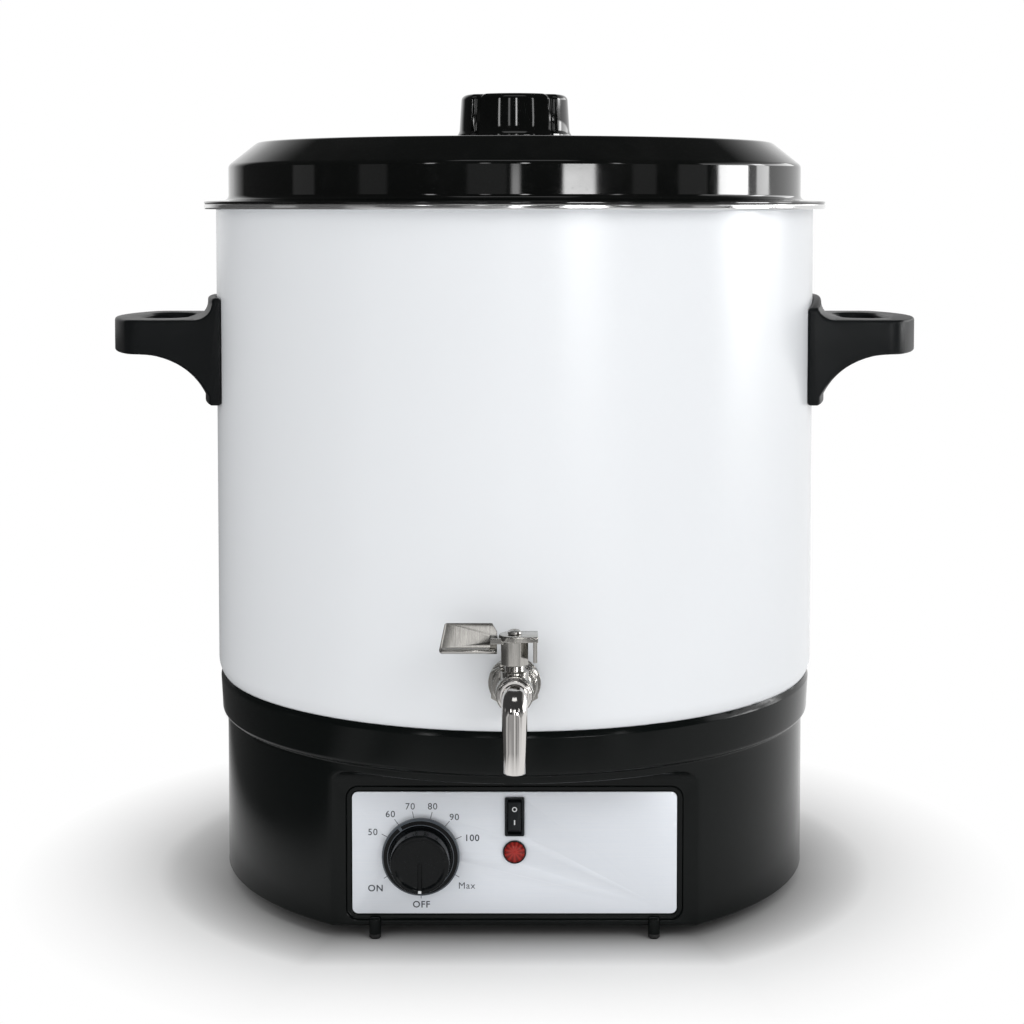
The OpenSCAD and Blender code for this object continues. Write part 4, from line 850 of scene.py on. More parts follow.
class MELTER_OT_lid(bpy.types.Operator):
    """Build the domed lid and its fluted knob"""
    bl_idname = "melter.lid"
    bl_label = "Lid"

    def execute(self, context):
        s = context.scene.melter_lid
        rim, seat, peak = lid_high.x, pot_high.z + 0.6, knob_low.z
        wall, side = 1.5, rim - 14.2
        skirt = pot_wall_radius() - 2.2
        shoulder_z, crown_z, crown_r = seat + 22.15, seat + 35.5, side - 16.8
        lid = turned_piece("lid_dome", "lid_gloss", [
            (2.2, peak, 0), (36, peak, 12), (crown_r, crown_z, s.crown_edge),
            (side, shoulder_z, s.shoulder), (side, seat + 2.25, 3), (rim, seat + 1.4, 0.7),
            (rim, seat, 0.5), (skirt, seat, 0.3), (skirt, lid_low.z, 0.5),
            (skirt - wall, lid_low.z, 0.5), (skirt - wall, seat + 0.75, 0.5),
            (side - wall, seat + 2.5, 1.5), (side - wall, shoulder_z - wall, 2),
            (crown_r - 0.6, crown_z - wall, 4), (36, peak - wall, 6), (2.2, peak - wall, 0)],
            320, 12)
        give(shade(lid, 40), "lid", "lid_black", "lid_shell")
        knob = new_object("knob_grip", self.knob(s), "lid_gloss")
        give(shade(knob, 40), "lid", "lid_black", "lid_knob")
        return {"FINISHED"}

    def knob(self, s):
        """The knob: each lobe's side and top edge is rounded off by itself."""
        low, high = knob_low.z, knob_high.z
        side = knob_high.x - 1.6
        rise, foot, edge, steps = 0.6, 3.4, 3.4, 720
        sides = high - low - rise - edge
        rings = []
        # Height over the knob's underside, and how far the outline is drawn in there
        levels = [(0.0, -1.9), (0.15, -1.6), (1.1, -1.6), (1.5, -1.3), (2.6, -0.75),
                  (foot, -0.5)]
        levels += [(foot + (sides - foot) * k / 3, -0.5 + 1.1 * k / 3) for k in (1, 2, 3)]
        levels += [(sides + edge * math.sin(t), 0.6 + edge * (1 - math.cos(t)))
                   for t in [math.radians(9 * k) for k in range(1, 11)]]
        for z, inset in levels:
            fluted = z > 1.3
            depth = min(1.0, max(0.0, (z - 1.3) / 1.4))
            rings.append([Vector(mm(*self.edge_point(s, side, i / steps * math.tau,
                                                     inset, fluted, depth), low + z))
                          for i in range(steps)])
        lip = rings[-1]
        for share, up in ((0.9, 0.18), (0.6, 0.42), (0.3, 0.54)):
            rings.append([Vector((p.x * share, p.y * share, (high - rise + up) / 1000))
                          for p in lip])
        rings.append([Vector(mm(0, 0, high))])
        rings.insert(0, [Vector(mm(0, 0, low))])
        return rings_to_mesh("knob_grip", rings)

    def edge_point(self, s, side, angle, inset, fluted, depth):
        """A point of the knob's outline, drawn in by inset, with its flutes blended in."""
        radius = side - inset
        if fluted:
            step = math.tau / s.flutes
            off = (angle - step / 2) % step
            off = min(off, step - off)
            centre = side + s.flute - 3.0
            reach = s.flute + max(0.0, inset) - 0.2
            across = centre * math.sin(off)
            if abs(across) < reach:
                cut = centre * math.cos(off) - math.sqrt(reach ** 2 - across ** 2)
                blend = 1.1
                h = max(0.0, min(1.0, 0.5 + 0.5 * (cut - radius) / blend))
                low = cut * (1 - h) + radius * h - blend * h * (1 - h)
                radius = radius + (min(low, radius) - radius) * depth
        return radius * math.cos(angle), radius * math.sin(angle)


class MELTER_OT_base(bpy.types.Operator):
    """Build the moulded base, its legs and rubber tips, and what closes it below"""
    bl_idname = "melter.base"
    bl_label = "Base"

    ARC_STEPS = 200
    CHORD_STEPS = 56

    def loop(self, radius, z, front=None, seam=None):
        """One closed ring of the shell: round, with a flat chord at y = -front if given."""
        flat = front is not None and front < radius - 1e-6
        corner = math.acos(front / radius) if flat else math.acos(seam / SEAM_RADIUS)
        ring = []
        for i in range(self.CHORD_STEPS):
            share = 2 * i / self.CHORD_STEPS - 1
            if flat:
                ring.append((radius * math.sin(corner) * share, -front))
            else:
                ring.append((radius * math.sin(corner * share),
                             -radius * math.cos(corner * share)))
        for i in range(self.ARC_STEPS):
            angle = corner + (math.tau - 2 * corner) * i / self.ARC_STEPS
            ring.append((radius * math.sin(angle), -radius * math.cos(angle)))
        return [Vector(mm(x, y, z)) for x, y in ring]

    def execute(self, context):
        s = context.scene.melter_base
        self.shell(s)
        self.legs()
        paint("black_rubber", "foot_tips", "pot_seal")
        paint("sheet_steel", "base_plate")
        paint("screw_steel", "base_screws", "centre_nut")
        paint("gland_nylon", "gland_nut")
        dressed("cord_gland", ROOT, "gland_nylon", 0.3, name="cord_inlet")
        return {"FINISHED"}

    def shell(self, s):
        foot, lip = base_low.z + LEG_HEIGHT, base_high.z
        band, body, wall = base_high.x, SEAM_RADIUS, SHELL_WALL
        front, ledge = FRONT, foot + 85.5
        seam = front + s.cove
        rings = []
        lower = [(foot, 1.0), (foot + 0.3, 0.3), (foot + 1.0, 0.0)]
        rings += [self.loop(body - cut, z, front - cut) for z, cut in lower]
        rings.append(self.loop(body, ledge - s.cove, front))
        for k in range(1, 9):
            t = math.pi / 2 * k / 8
            rings.append(self.loop(body, ledge - s.cove + s.cove * math.sin(t),
                                   front + s.cove * (1 - math.cos(t))))
        side = rounded([(body, ledge, 0), (body, lip - 24.2, 1.5), (band - 0.9, lip - 22.6, 7.5),
                        (band - 0.7, lip - 16.8, 1.0), (band, lip - 3.3, 1.2),
                        (nest_radius(lip), lip, 0.6), (nest_radius(lip) - 0.01, lip - 0.01, 0)],
                       7)
        rings += [self.loop(r, z, seam=seam) for r, z in side]
        pot_corner = pot_wall_radius() - POT_CORNER
        rest = pot_low.z
        for k in range(1, 7):
            z = lip + (rest - 0.2 - lip) * k / 6
            rings.append(self.loop(nest_radius(z), z, seam=seam))
        shelf = rest - 1.5
        for r, z in ((pot_corner - 0.5, rest - 0.3), (pot_corner - 0.5, shelf),
                     (pot_corner - 12.5, shelf), (pot_corner - 12.5, shelf - wall),
                     (body - wall, shelf - wall)):
            rings.append(self.loop(r, z, seam=seam))
        inner_front = front - wall
        rings.append(self.loop(body - wall, ledge + wall, seam=seam))
        rings.append(self.loop(body - wall, ledge + wall, inner_front))
        rings.append(self.loop(body - wall, foot + 0.3, inner_front))
        rings.append(self.loop(body - wall + 0.3, foot, inner_front + 0.3))
        mesh = rings_to_mesh("base_moulding", rings, closed=True)
        obj = new_object("base_moulding", mesh, "base_gloss")
        self.cut_panel(obj)
        soften(obj, s.edge, 4, 28)
        give(obj, ROOT, "base_black", "base_shell")

    def cut_panel(self, obj):
        """Sinks the plate's border and bed into the front, with the holes behind it."""
        wide, tall, mid = plate_high.x, (plate_high.z - plate_low.z) / 2, PANEL_Z
        bed, face = plate_high.y, -FRONT
        switch_low, switch_high = box_mm("switch_housing")
        pilot_low, pilot_high = box_mm("pilot_housing")
        pilot_z = (pilot_low.z + pilot_high.z) / 2
        cutters = [
            block("border", (-wide - 3, face - 20, mid - tall - 3),
                  (wide + 3, face + 0.7, mid + tall + 3), 6.2),
            block("bed", (-wide - 0.2, face - 20, mid - tall - 0.2),
                  (wide + 0.2, bed, mid + tall + 0.2), 3.4),
            block("switch_hole", (switch_low.x + 0.4, bed - 5, switch_low.z + 0.4),
                  (switch_high.x - 0.4, bed + 6, switch_high.z - 0.4), 0.5),
        ]
        for x, z, r in ((DIAL_X, DIAL_Z, 5.2), (0.0, pilot_z, 5.2), (DIAL_X - 14, DIAL_Z, 2.1),
                        (DIAL_X + 14, DIAL_Z, 2.1)):
            hole = turned("hole", [(0, 0, 0), (r, 0, 0), (r, 12, 0), (0, 12, 0)], 48)
            cutters.append(place(hole, facing_front(x, bed + 6, z)))
        carve(obj, cutters)

    def legs(self):
        """The four moulded legs; the front pair runs up the flat front to a round top."""
        foot, start = base_low.z + LEG_HEIGHT, base_low.z
        back = SEAM_RADIUS - SHELL_WALL
        places = [(x, -FRONT, 5.2, 2.6, 8) for x in (-LEG_X, LEG_X)]
        places += [(back * math.cos(math.radians(angle)), back * math.sin(math.radians(angle)),
                    3.0, 0.5, 4) for angle in (58, 122)]
        parts = []
        for x, y, rise, top, steps in places:
            parts.append(turned_piece("leg", "base_gloss", [
                (0, start, 0), (LEG_RADIUS, start, 0), (LEG_RADIUS, foot + rise, top),
                (0, foot + rise, 0)], 40, steps, Matrix.Translation(mm(x, y, 0))))
        pad_z = (box_mm("cord_gland")[0].z + box_mm("cord_gland")[1].z) / 2
        pad = new_object("gland_pad", block("gland_pad", (-13, 164, pad_z - 13),
                                            (13, 171.2, pad_z + 13), 2.5), "base_gloss")
        hole = turned("hole", [(0, 0, 0), (7.7, 0, 0), (7.7, 40, 0), (0, 40, 0)], 48)
        carve(pad, [place(hole, facing_front(0, 190, pad_z))])
        parts.append(soften(pad, 0.5, 3))
        legs = shade(join(parts, "base_legs"), 40)
        give(legs, ROOT, "base_black", "base_shell")


def nest_radius(z):
    """The radius of the base's hollow round the pot's corner at a height."""
    below = pot_low.z + POT_CORNER - z
    return pot_wall_radius() - POT_CORNER + math.sqrt(NEST_RADIUS ** 2 - below ** 2)


FONT_SIZE = 1.42            # the font's size for capitals that are 1 high
LETTER_SPACE = 1.12
INK_DEPTH = 0.00008         # in metres, half of it over the plate's face

# The scale round the dial: words, places from the dial's axis and weight of the strokes, in mm
SCALE_WORDS = (
    ("50", -25.8, 12.1, 0.02), ("60", -16.4, 21.8, 0.02), ("70", -5.8, 26.0, 0.02),
    ("80", 6.2, 26.0, 0.02), ("90", 17.8, 20.2, 0.02), ("100", 27.2, 8.9, 0.075),
    ("Max", 24.4, -17.0, 0.0), ("OFF", 0.1, -27.2, 0.075), ("ON", -24.4, -18.4, 0.075),
)


class MELTER_OT_panel(bpy.types.Operator):
    """Build the control plate, its printed scale, the rocker switch and the pilot light"""
    bl_idname = "melter.panel"
    bl_label = "Control panel"

    def execute(self, context):
        s = context.scene.melter_panel
        dressed("panel_plate", ROOT, "plate_foil", 0.2, name="control_plate")
        self.scale(s)
        dressed("switch_housing", ROOT, "switch_plastic", 0.22, 2, name="switch_bezel")
        dressed("switch_rocker", "rocker", "switch_plastic", 0.3, 3, name="rocker_key")
        self.marks()
        self.light()
        return {"FINISHED"}

    def scale(self, s):
        face = plate_low.y
        x, z = DIAL_X, DIAL_Z
        printed = []
        for word, right, up, weight in SCALE_WORDS:
            printed.append(self.word(word, x + right, face, z + up, s.letter, weight))
        pattern = bpy.data.node_groups["bars_round_a_circle"]
        # Clockwise from the bottom, as someone at the panel sees it
        for first, step, count in ((118.0, 25.5, 6), (0.0, 0.0, 1), (57.0, 0.0, 1),
                                   (301.0, 0.0, 1)):
            bars = run_nodes("ticks", pattern, {
                "Count": count, "Radius": (dial_high.x - dial_low.x) / 2000 + 0.0011,
                "First Angle": math.radians(-90 - first), "Step": math.radians(-step),
                "Length": s.tick / 1000, "Width": 0.00032, "Height": INK_DEPTH}, "scale_ink")
            bars.data.transform(facing_front(x, face, z))
            printed.append(bars)
        give(join(printed, "printed_scale"), ROOT, "panel_silver")

    def word(self, text, x, y, z, height, weight):
        """A printed word with its middle at a point of the plate, in millimetres."""
        curve = bpy.data.curves.new("word", "FONT")
        curve.body = text
        curve.size = height / 1000 * FONT_SIZE
        curve.space_character = LETTER_SPACE
        curve.align_x, curve.align_y = "CENTER", "CENTER"
        curve.extrude, curve.offset = INK_DEPTH / 2, weight / 1000
        curve.resolution_u = 6
        obj = bpy.data.objects.new("word", curve)
        bpy.context.scene.collection.objects.link(obj)
        graph = bpy.context.evaluated_depsgraph_get()
        mesh = bpy.data.meshes.new_from_object(obj.evaluated_get(graph))
        bpy.data.objects.remove(obj)
        bpy.data.curves.remove(curve)
        bm = bmesh.new()
        bm.from_mesh(mesh)
        bmesh.ops.remove_doubles(bm, verts=bm.verts, dist=1e-7)
        bm.to_mesh(mesh)
        bm.free()
        mesh.transform(facing_front(x, y, z))
        return new_object("word", mesh, "scale_ink")

    def marks(self):
        """The ring and the bar on the rocker, each on its own half of the face."""
        low, high = box_mm("switch_housing")
        z = (low.z + high.z) / 2
        pivot = plate_low.y + 2.6
        ring = turned_piece("off_ring", "white_mark", [
            (0.85, 0, 0), (1.35, 0, 0), (1.35, 0.09, 0.03), (0.85, 0.09, 0.03)], 48, 2,
            facing_front(0, pivot - 4.13, z + 4.2))
        bar = block("on_bar", (-0.32, -0.06, -1.25), (0.32, 0.06, 1.25), 0.1)
        tilt = Matrix.Translation(mm(0, pivot - 5.3, z - 2.5)) \
            @ Matrix.Rotation(math.radians(-20), 4, "X")
        bar = new_object("on_bar", place(bar, tilt), "white_mark")
        give(join([ring, bar], "rocker_marks"), "rocker", "switch_black")

    def light(self):
        low, high = box_mm("pilot_lens")
        rim_low, rim_high = box_mm("pilot_housing")
        x, z = (low.x + high.x) / 2, (low.z + high.z) / 2
        reach = (high.x - low.x) / 2
        rise = plate_low.y - low.y
        front = facing_front(x, plate_low.y, z)
        lens = turned_piece("pilot_dome", "red_lens", [
            (0, -3, 0), (3.9, -3, 0), (3.9, 0.45, 0.1), (reach, 0.45, 0.2),
            (reach - 0.15, 1.35, 0.4), (reach - 1.6, rise - 0.35, 2.0), (0, rise, 0)], 96, 8,
            front)
        give(shade(lens, 45), ROOT, "lens_red", "pilot_lens")
        collar = (rim_high.x - rim_low.x) / 2
        rim = turned_piece("pilot_rim", "switch_plastic", [
            (reach + 0.05, 0.02, 0), (collar, 0.02, 0.15), (collar, 1.3, 0.4),
            (reach + 0.05, 1.3, 0.15)], 96, 5, front)
        barrel = turned_piece("pilot_barrel", "switch_plastic", [
            (4.2, 0, 0), (5, 0, 0), (5, 22, 0.3), (4.2, 22, 0.1)], 64, 4,
            facing_front(x, plate_low.y + 22.05, z))
        give(shade(join([rim, barrel], "pilot_holder"), 40), ROOT, "switch_black",
             "pilot_housing")


class MELTER_OT_dial(bpy.types.Operator):
    """Build the thermostat's dial with its pointer groove and white mark"""
    bl_idname = "melter.dial"
    bl_label = "Dial"

    def execute(self, context):
        x, z = DIAL_X, DIAL_Z
        skirt = (dial_high.x - dial_low.x) / 2
        deep, grip = dial_high.y - dial_low.y, 16.9
        body = turned_piece("dial_knob", "dial_gloss", [
            (3.06, 0, 0.2), (skirt, 0, 0.4), (skirt - 0.25, 3.0, 0.9), (grip, 3.0, 1.0),
            (15.5, deep, 1.1), (13.6, deep - 0.1, 1.0), (12.6, deep - 0.75, 1.0),
            (0, deep - 0.75, 0), (0, 11, 0), (3.06, 11, 0.1)], 144, 8,
            facing_front(x, dial_high.y, z))
        carve(body, [block("groove", (x - 1.0, dial_low.y - 2, z - 19),
                           (x + 1.0, dial_low.y + 1.3, z + 0.4), 0.9)])
        soften(body, 0.25, 3, 35)
        # Faces out past the grip take the lighter grey: painted sheen on the skirt
        body.data.materials.append(bpy.data.materials["dial_skirt"])
        for face in body.data.polygons:
            away = math.hypot(face.center.x * 1000 - x, face.center.z * 1000 - z)
            if away > grip + 0.5:
                face.material_index = 1
        give(body, "dial", "dial_black", "thermostat_dial")
        mark = block("pointer_mark", (x - 0.9, dial_low.y + 0.9, z - 15.6),
                     (x + 0.9, dial_low.y + 2.0, z - 14.2), 0.25)
        mark = soften(new_object("pointer_mark", mark, "white_mark"), 0.1, 2)
        give(mark, "dial", "dial_black")
        paint("screw_steel", "thermostat_spindle")
        return {"FINISHED"}


class MELTER_OT_handles(bpy.types.Operator):
    """Build the two moulded carrying handles and paint their fixings"""
    bl_idname = "melter.handles"
    bl_label = "Handles"

    def execute(self, context):
        s = context.scene.melter_handles
        for side in ("left", "right"):
            dressed("handle_" + side, ROOT, "handle_satin", s.edge, 4, 30,
                    name="grip_" + side)
        dressed("handle_screws", ROOT, "screw_steel", 0.15, 2, name="grip_screws")
        paint("grey_silicone", "handle_seals")
        return {"FINISHED"}


class MELTER_OT_tap(bpy.types.Operator):
    """Build the lever tap: body, spout, lever and the parts of its valve"""
    bl_idname = "melter.tap"
    bl_label = "Tap"

    def execute(self, context):
        s = context.scene.melter_tap
        dressed("tap_body", ROOT, "valve_steel", s.edge, 3, name="valve_body")
        dressed("tap_washer", ROOT, "valve_steel", 0.25, 3, name="wall_washer")
        dressed("tap_lever", "lever", "lever_steel", s.edge, 3, name="lever_paddle")
        dressed("tap_lever_screw", "lever", "screw_steel", 0.2, 3, name="lever_screw")
        dressed("tap_inner_nut", ROOT, "tap_steel", 0.4, 3, name="pot_nut")
        self.spout()
        paint("black_rubber", "tap_gasket", "tap_inner_seal")
        paint("seat_plastic", "valve_seats")
        paint("tap_steel", "tap_stem")
        return {"FINISHED"}

    def spout(self):
        """A drawn tube: a tight elbow, then a straight fall that narrows to its mouth."""
        low, high = box_mm("tap_spout")
        axis, mouth = tap_axis_z(), low.z
        start = high.y
        tube, end, bore, bend = 6.6, 5.6, 4.2, 8.0
        turn_y = low.y + tube + bend
        path = [(start + 1.0, axis, 0.0)]
        path += [(turn_y - bend * math.sin(t), axis - bend + bend * math.cos(t), t)
                 for t in [math.radians(90 * k / 20) for k in range(21)]]
        down_y = turn_y - bend
        falls = [(down_y, z) for z in (axis - bend - 8, axis - bend - 18, mouth + 0.7)]
        steps = 72

        def ring(y, z, angle, radius):
            out = Vector((0, -math.sin(angle), math.cos(angle)))
            return [Vector(mm(0, y, z)) + (out * math.cos(a) + Vector((1, 0, 0)) * math.sin(a))
                    * radius / 1000 for a in [math.tau * i / steps for i in range(steps)]]

        rings = [ring(y, z, a, tube) for y, z, a in path]
        for y, z in falls:
            share = (axis - bend - z) / (axis - bend - mouth)
            rings.append(ring(y, z, math.pi / 2, tube + (end - tube) * share))
        for t in (0.3, 0.7, 1.0):
            rings.append(ring(down_y, mouth + 0.7 - 0.7 * math.sin(t * math.pi / 2), math.pi / 2,
                              end - 0.7 * (1 - math.cos(t * math.pi / 2))))
        rings.append(ring(down_y, mouth, math.pi / 2, bore + 0.2))
        rings.append(ring(down_y, mouth + 0.3, math.pi / 2, bore))
        rings += [ring(y, z, a, bore) for y, z, a in reversed(path)]
        tube_obj = new_object("spout_tube", rings_to_mesh("spout_tube", rings, closed=True),
                              "tap_steel")
        collar = turned_piece("spout_collar", "tap_steel", [
            (6.2, 0, 0), (8.7, 0, 0.3), (8.7, 1.8, 0.5), (7.9, 2.0, 0.2), (7.9, 3.0, 0.4),
            (6.2, 3.0, 0.1)], 96, 5, facing_front(0, start, axis))
        spout = shade(join([tube_obj, collar], "spout_pipe"), 35)
        give(spout, ROOT, "tap_steel", "tap_spout")


def tap_axis_z():
    """The height of the tap's axis: its wall gasket is round about it."""
    low, high = box_mm("tap_gasket")
    return (low.z + high.z) / 2


class MELTER_OT_inner(bpy.types.Operator):
    """Give the parts inside the base and under the lid their finishes"""
    bl_idname = "melter.inner"
    bl_label = "Inner parts"

    def execute(self, context):
        paint("cast_aluminium", "heater_plate")
        paint("heater_tube", "heating_element")
        paint("sheet_steel", "heat_shield", "shield_spacer", "base_spacer")
        paint("screw_steel", "centre_stud", "thermostat_screws", "pilot_clip", "knob_washer",
              "knob_screw")
        paint("nickel_case", "thermostat_body")
        paint("copper_tube", "thermostat_capillary")
        paint("phenolic", "thermal_cutout")
        paint("terminal_porcelain", "terminal_block")
        return {"FINISHED"}


class MELTER_OT_stage(bpy.types.Operator):
    """Build the floor, the soft lights, the white surround and the camera"""
    bl_idname = "melter.stage"
    bl_label = "Stage"

    def execute(self, context):
        s = context.scene.melter_stage
        self.floor(s)
        self.surround(s)
        for name, place_at, size, power, aim in (
                ("key", (1.15, -1.2, 1.3), (1.1, 1.1), s.key, (0, 0, 0.22)),
                ("fill", (-0.85, -1.55, 1.0), (1.3, 1.3), s.fill, (0, 0, 0.2)),
                ("top", (0.0, 0.35, 1.75), (1.2, 1.0), s.fill * 0.42, (0, 0, 0.3))):
            light = bpy.data.lights.new(name, "AREA")
            light.shape, light.energy = "RECTANGLE", power
            light.size, light.size_y = size
            obj = bpy.data.objects.new(name, light)
            obj.location = place_at
            obj.rotation_euler = (Vector(aim) - obj.location).to_track_quat("-Z", "Y").to_euler()
            obj.visible_glossy = False
            context.scene.collection.objects.link(obj)
        camera = bpy.data.cameras.new("camera")
        camera.sensor_width, camera.lens = 36.0, CAMERA_LENS
        camera.shift_x, camera.shift_y = CAMERA_SHIFT
        view = bpy.data.objects.new("camera", camera)
        view.location = CAMERA_PLACE
        view.rotation_euler = (math.radians(90 - CAMERA_DROP), 0.0, 0.0)
        context.scene.collection.objects.link(view)
        context.scene.camera = view
        context.scene.view_settings.view_transform = "Standard"
        return {"FINISHED"}

    def floor(self, s):
        mesh = bpy.data.meshes.new("floor")
        reach = 6.0
        mesh.from_pydata([(-reach, -reach, 0), (reach, -reach, 0), (reach, reach, 0),
                          (-reach, reach, 0)], [], [(0, 1, 2, 3)])
        material = bpy.data.materials.new("studio_floor")
        material.use_nodes = True
        tree = Tree(material.node_tree)
        tree.nodes.clear()
        output = tree.new("ShaderNodeOutputMaterial")
        coords = tree.new("ShaderNodeTexCoord").outputs["Object"]
        part = tree.split(coords)
        across, ahead = part["X"], tree.math("MULTIPLY", part["Y"], -1.0)
        beside = tree.math("SUBTRACT", tree.vector("LENGTH", coords), SEAM_RADIUS / 1000)
        gap = tree.math("MAXIMUM", beside, tree.math("SUBTRACT", ahead, FRONT / 1000))
        far = tree.remap(gap, 0.03, s.clear, 0.0, 1.0)
        # Painted contact shadow: the floor's own colour turns dark close to the base, darkest just
        # in front of it
        painted_front_shadow = tree.remap(ahead, 0.02, 0.13, s.painted_contact_shadow + 0.25, s.painted_contact_shadow)
        tone = tree.remap(gap, -0.004, 0.042, painted_front_shadow, 1.0)
        paths, seen = self.seen_rays(tree)
        paper = tree.new("ShaderNodeBsdfDiffuse", {
            "Color": tree.mix(tone, (0.02, 0.02, 0.02), s.floor)})
        white = tree.new("ShaderNodeEmission", {"Color": (1, 1, 1, 1), "Strength": 1.0})
        blend = tree.new("ShaderNodeMixShader")
        glossy = paths["Is Glossy Ray"]
        deep = tree.math("MAXIMUM", tree.remap(ahead, 0.34, 0.56, 0.0, 1.0),
                         tree.remap(across, -0.19, -0.31, 0.0, 1.0))
        room = tree.math("MULTIPLY", deep, glossy)
        tree.link(self.streaks(tree, across, ahead, room), white.inputs["Strength"])
        share = tree.math("MAXIMUM", far, room)
        tree.link(tree.math("MULTIPLY", share, seen), blend.inputs[0])
        tree.link(paper.outputs[0], blend.inputs[1])
        tree.link(white.outputs[0], blend.inputs[2])
        tree.link(blend.outputs[0], output.inputs["Surface"])
        obj = new_object("floor", mesh, "studio_floor")

    def streaks(self, tree, across, ahead, mask):
        """The far floor's strength: white to the eye, and in polished pieces a room with
        bands of light and shade that run away from the object."""
        turn = tree.math("DEGREES", tree.math("ARCTAN2", across, ahead))
        total = 0.10
        for left, right, glow in STREAKS:
            total = tree.math("MULTIPLY_ADD", self.band(tree, turn, left, right, 4.0), glow,
                              total)
        dim = tree.math("SUBTRACT", total, 1.0)
        return tree.math("MULTIPLY_ADD", mask, dim, 1.0)

    def surround(self, s):
        world = bpy.data.worlds.new("surround")
        bpy.context.scene.world = world
        world.use_nodes = True
        tree = Tree(world.node_tree)
        tree.nodes.clear()
        output = tree.new("ShaderNodeOutputWorld")
        paths, seen = self.seen_rays(tree)
        plain = tree.remap(seen, 0.0, 1.0, s.surround, 1.0)
        shiny = tree.math("SUBTRACT", paths["Is Glossy Ray"], paths["Is Camera Ray"], clamp=True)
        strength = tree.math("ADD", tree.math("MULTIPLY", plain, tree.math(
            "SUBTRACT", 1.0, shiny)), tree.math("MULTIPLY", self.room(tree, s), shiny))
        sky = tree.new("ShaderNodeBackground", {"Color": (1, 1, 1, 1), "Strength": strength})
        tree.link(sky.outputs[0], output.inputs["Surface"])

    def room(self, tree, s):
        """What polished pieces mirror: the white backdrop behind, and in front a dim room
        with windows. Angles run from the front to the right and up, in degrees."""
        part = tree.split(tree.new("ShaderNodeTexCoord").outputs["Generated"])
        front = tree.math("MULTIPLY", part["Y"], -1.0)
        turn = tree.math("DEGREES", tree.math("ARCTAN2", part["X"], front))
        rise = tree.math("DEGREES", tree.math("ARCSINE", part["Z"]))
        left_side = tree.math("MINIMUM", part["X"], 0.0)
        lean = tree.math("MULTIPLY_ADD", left_side, 1.2, part["Y"])
        back = tree.remap(lean, -0.15, 0.30, 0.0, 1.0)
        low = tree.remap(rise, 16.0, 38.0, 1.0, 0.0)
        total = tree.math("MULTIPLY_ADD", tree.math("MULTIPLY", back, low), 1.0 - s.room, s.room)
        for left, right, bottom, top, glow in WINDOWS:
            wide = self.band(tree, turn, left, right)
            tall = self.band(tree, rise, bottom, top)
            total = tree.math("MULTIPLY_ADD", tree.math("MULTIPLY", wide, tall), glow, total)
        return total

    def seen_rays(self, tree):
        """The light path's outputs, and 1 for rays that show white instead of lighting."""
        paths = tree.new("ShaderNodeLightPath").outputs
        seen = tree.math("MAXIMUM", paths["Is Camera Ray"], paths["Is Glossy Ray"])
        return paths, tree.math("MAXIMUM", seen, paths["Is Transmission Ray"])

    def band(self, tree, value, low, high, soft=0.6):
        """1 between two angles and 0 outside them, over a soft edge."""
        up = tree.remap(value, low - soft, low + soft, 0.0, 1.0)
        down = tree.remap(value, high - soft, high + soft, 1.0, 0.0)
        return tree.math("MULTIPLY", up, down)


# The photograph's camera: place in metres, how far it looks down in degrees, lens in mm
CAMERA_PLACE = (0.0, -1.2366, 0.3923)
CAMERA_DROP = 3.108
CAMERA_LENS = 73.33
CAMERA_SHIFT = (-0.0025, -0.19)

# Bands of light on the floor in front: left and right angle, and how bright each is
STREAKS = ((-58.0, -44.0, 0.55), (-40.0, -8.0, 0.30), (-4.0, 6.0, 0.80), (12.0, 24.0, 0.35),
           (28.0, 40.0, 0.75), (46.0, 72.0, 0.30))

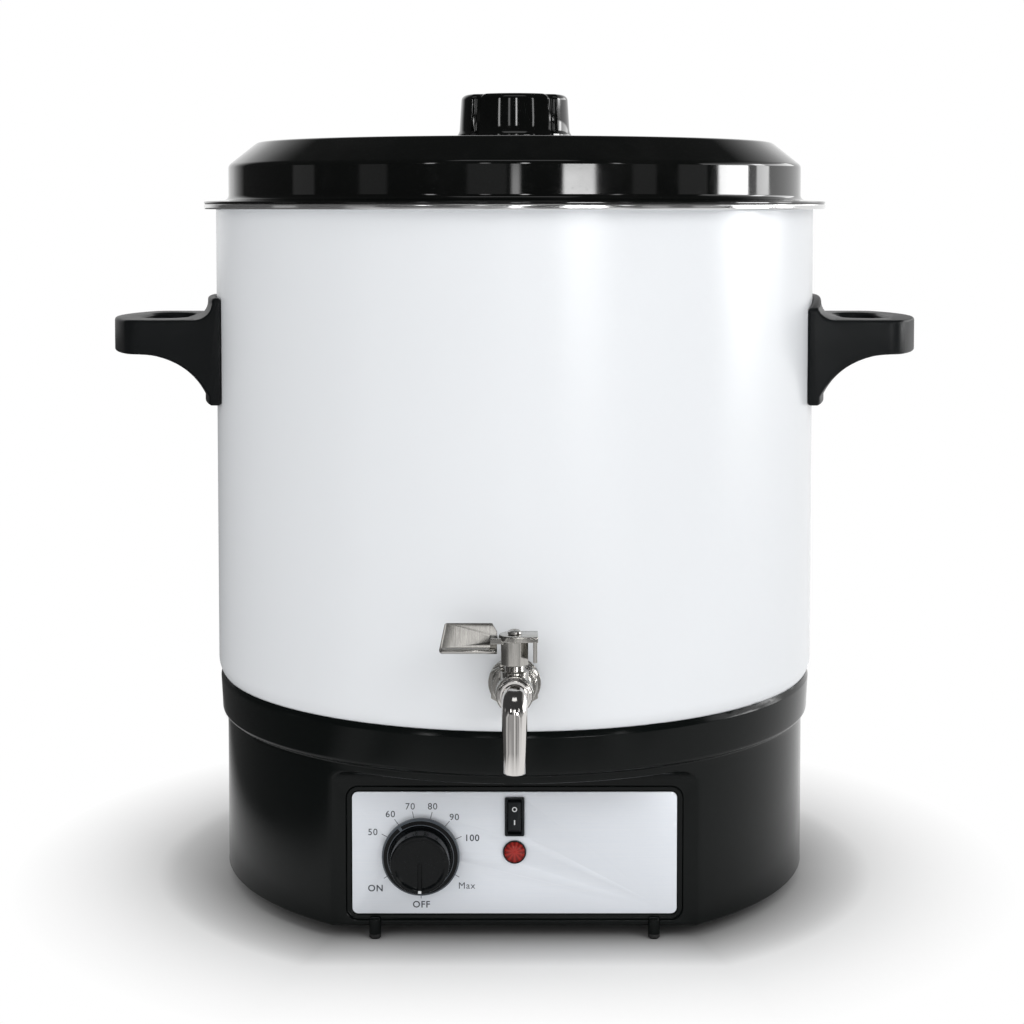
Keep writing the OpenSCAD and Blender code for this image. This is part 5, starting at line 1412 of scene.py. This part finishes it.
# Windows of the room in front: left, right, bottom and top angle, and how bright each is
WINDOWS = (
    (18.5, 31.0, -9.0, 5.0, 17.0),
    (86.0, 103.5, -9.0, 5.0, 18.0),
    (109.5, 119.0, -9.0, 5.0, 5.0),
    (-1.1, 2.0, -9.0, 5.0, 5.0),
    (-34.5, -31.0, 7.0, 18.0, 7.0),
    (-13.0, -9.5, 7.0, 18.0, 3.0),
    (2.6, 5.4, 7.0, 18.0, 12.0),
    (38.5, 41.5, 7.0, 18.0, 5.0),
    (78.0, 150.0, 7.0, 18.0, 2.2),
    (109.0, 117.0, 7.0, 18.0, 7.0),
    (-62.0, -50.0, -15.0, 6.0, 0.22),
    (-96.0, -84.0, -15.0, 6.0, 0.28),
    (-18.0, -3.0, -10.0, 6.0, 0.25),
    (46.0, 56.0, -20.0, 6.0, 0.25),
    (66.0, 80.0, -20.0, 6.0, 0.30),
    (-35.0, 35.0, 52.0, 66.0, 1.2),
)

OPERATORS = (
    MELTER_OT_finishes, MELTER_OT_stage, MELTER_OT_pot, MELTER_OT_lid, MELTER_OT_base,
    MELTER_OT_panel, MELTER_OT_dial, MELTER_OT_handles, MELTER_OT_tap, MELTER_OT_inner,
)


class MELTER_PT_sidebar(bpy.types.Panel):
    """The sidebar panel: each piece's button, with the sizes and colours below it"""
    bl_idname = "MELTER_PT_sidebar"
    bl_label = "Wax Melter"
    bl_space_type = "VIEW_3D"
    bl_region_type = "UI"
    bl_category = "Wax Melter"

    def draw(self, context):
        column = self.layout.column()
        for operator in OPERATORS:
            column.operator(operator.bl_idname)
        for name in GROUPS:
            settings = getattr(context.scene, name)
            area = self.layout.box()
            area.label(text=name.replace("melter_", "").capitalize())
            for item in settings.bl_rna.properties:
                if item.identifier not in {"rna_type", "name"}:
                    area.prop(settings, item.identifier)


def register():
    for group in GROUPS.values():
        bpy.utils.register_class(group)
    for name, group in GROUPS.items():
        setattr(bpy.types.Scene, name, PointerProperty(type=group))
    for operator in OPERATORS:
        bpy.utils.register_class(operator)
    bpy.utils.register_class(MELTER_PT_sidebar)


def unregister():
    bpy.utils.unregister_class(MELTER_PT_sidebar)
    for operator in reversed(OPERATORS):
        bpy.utils.unregister_class(operator)
    for name in GROUPS:
        delattr(bpy.types.Scene, name)
    for group in reversed(list(GROUPS.values())):
        bpy.utils.unregister_class(group)


def main():
    register()
    for operator in OPERATORS:
        family, call = operator.bl_idname.split(".")
        getattr(getattr(bpy.ops, family), call)()


if __name__ == "__main__":
    main()
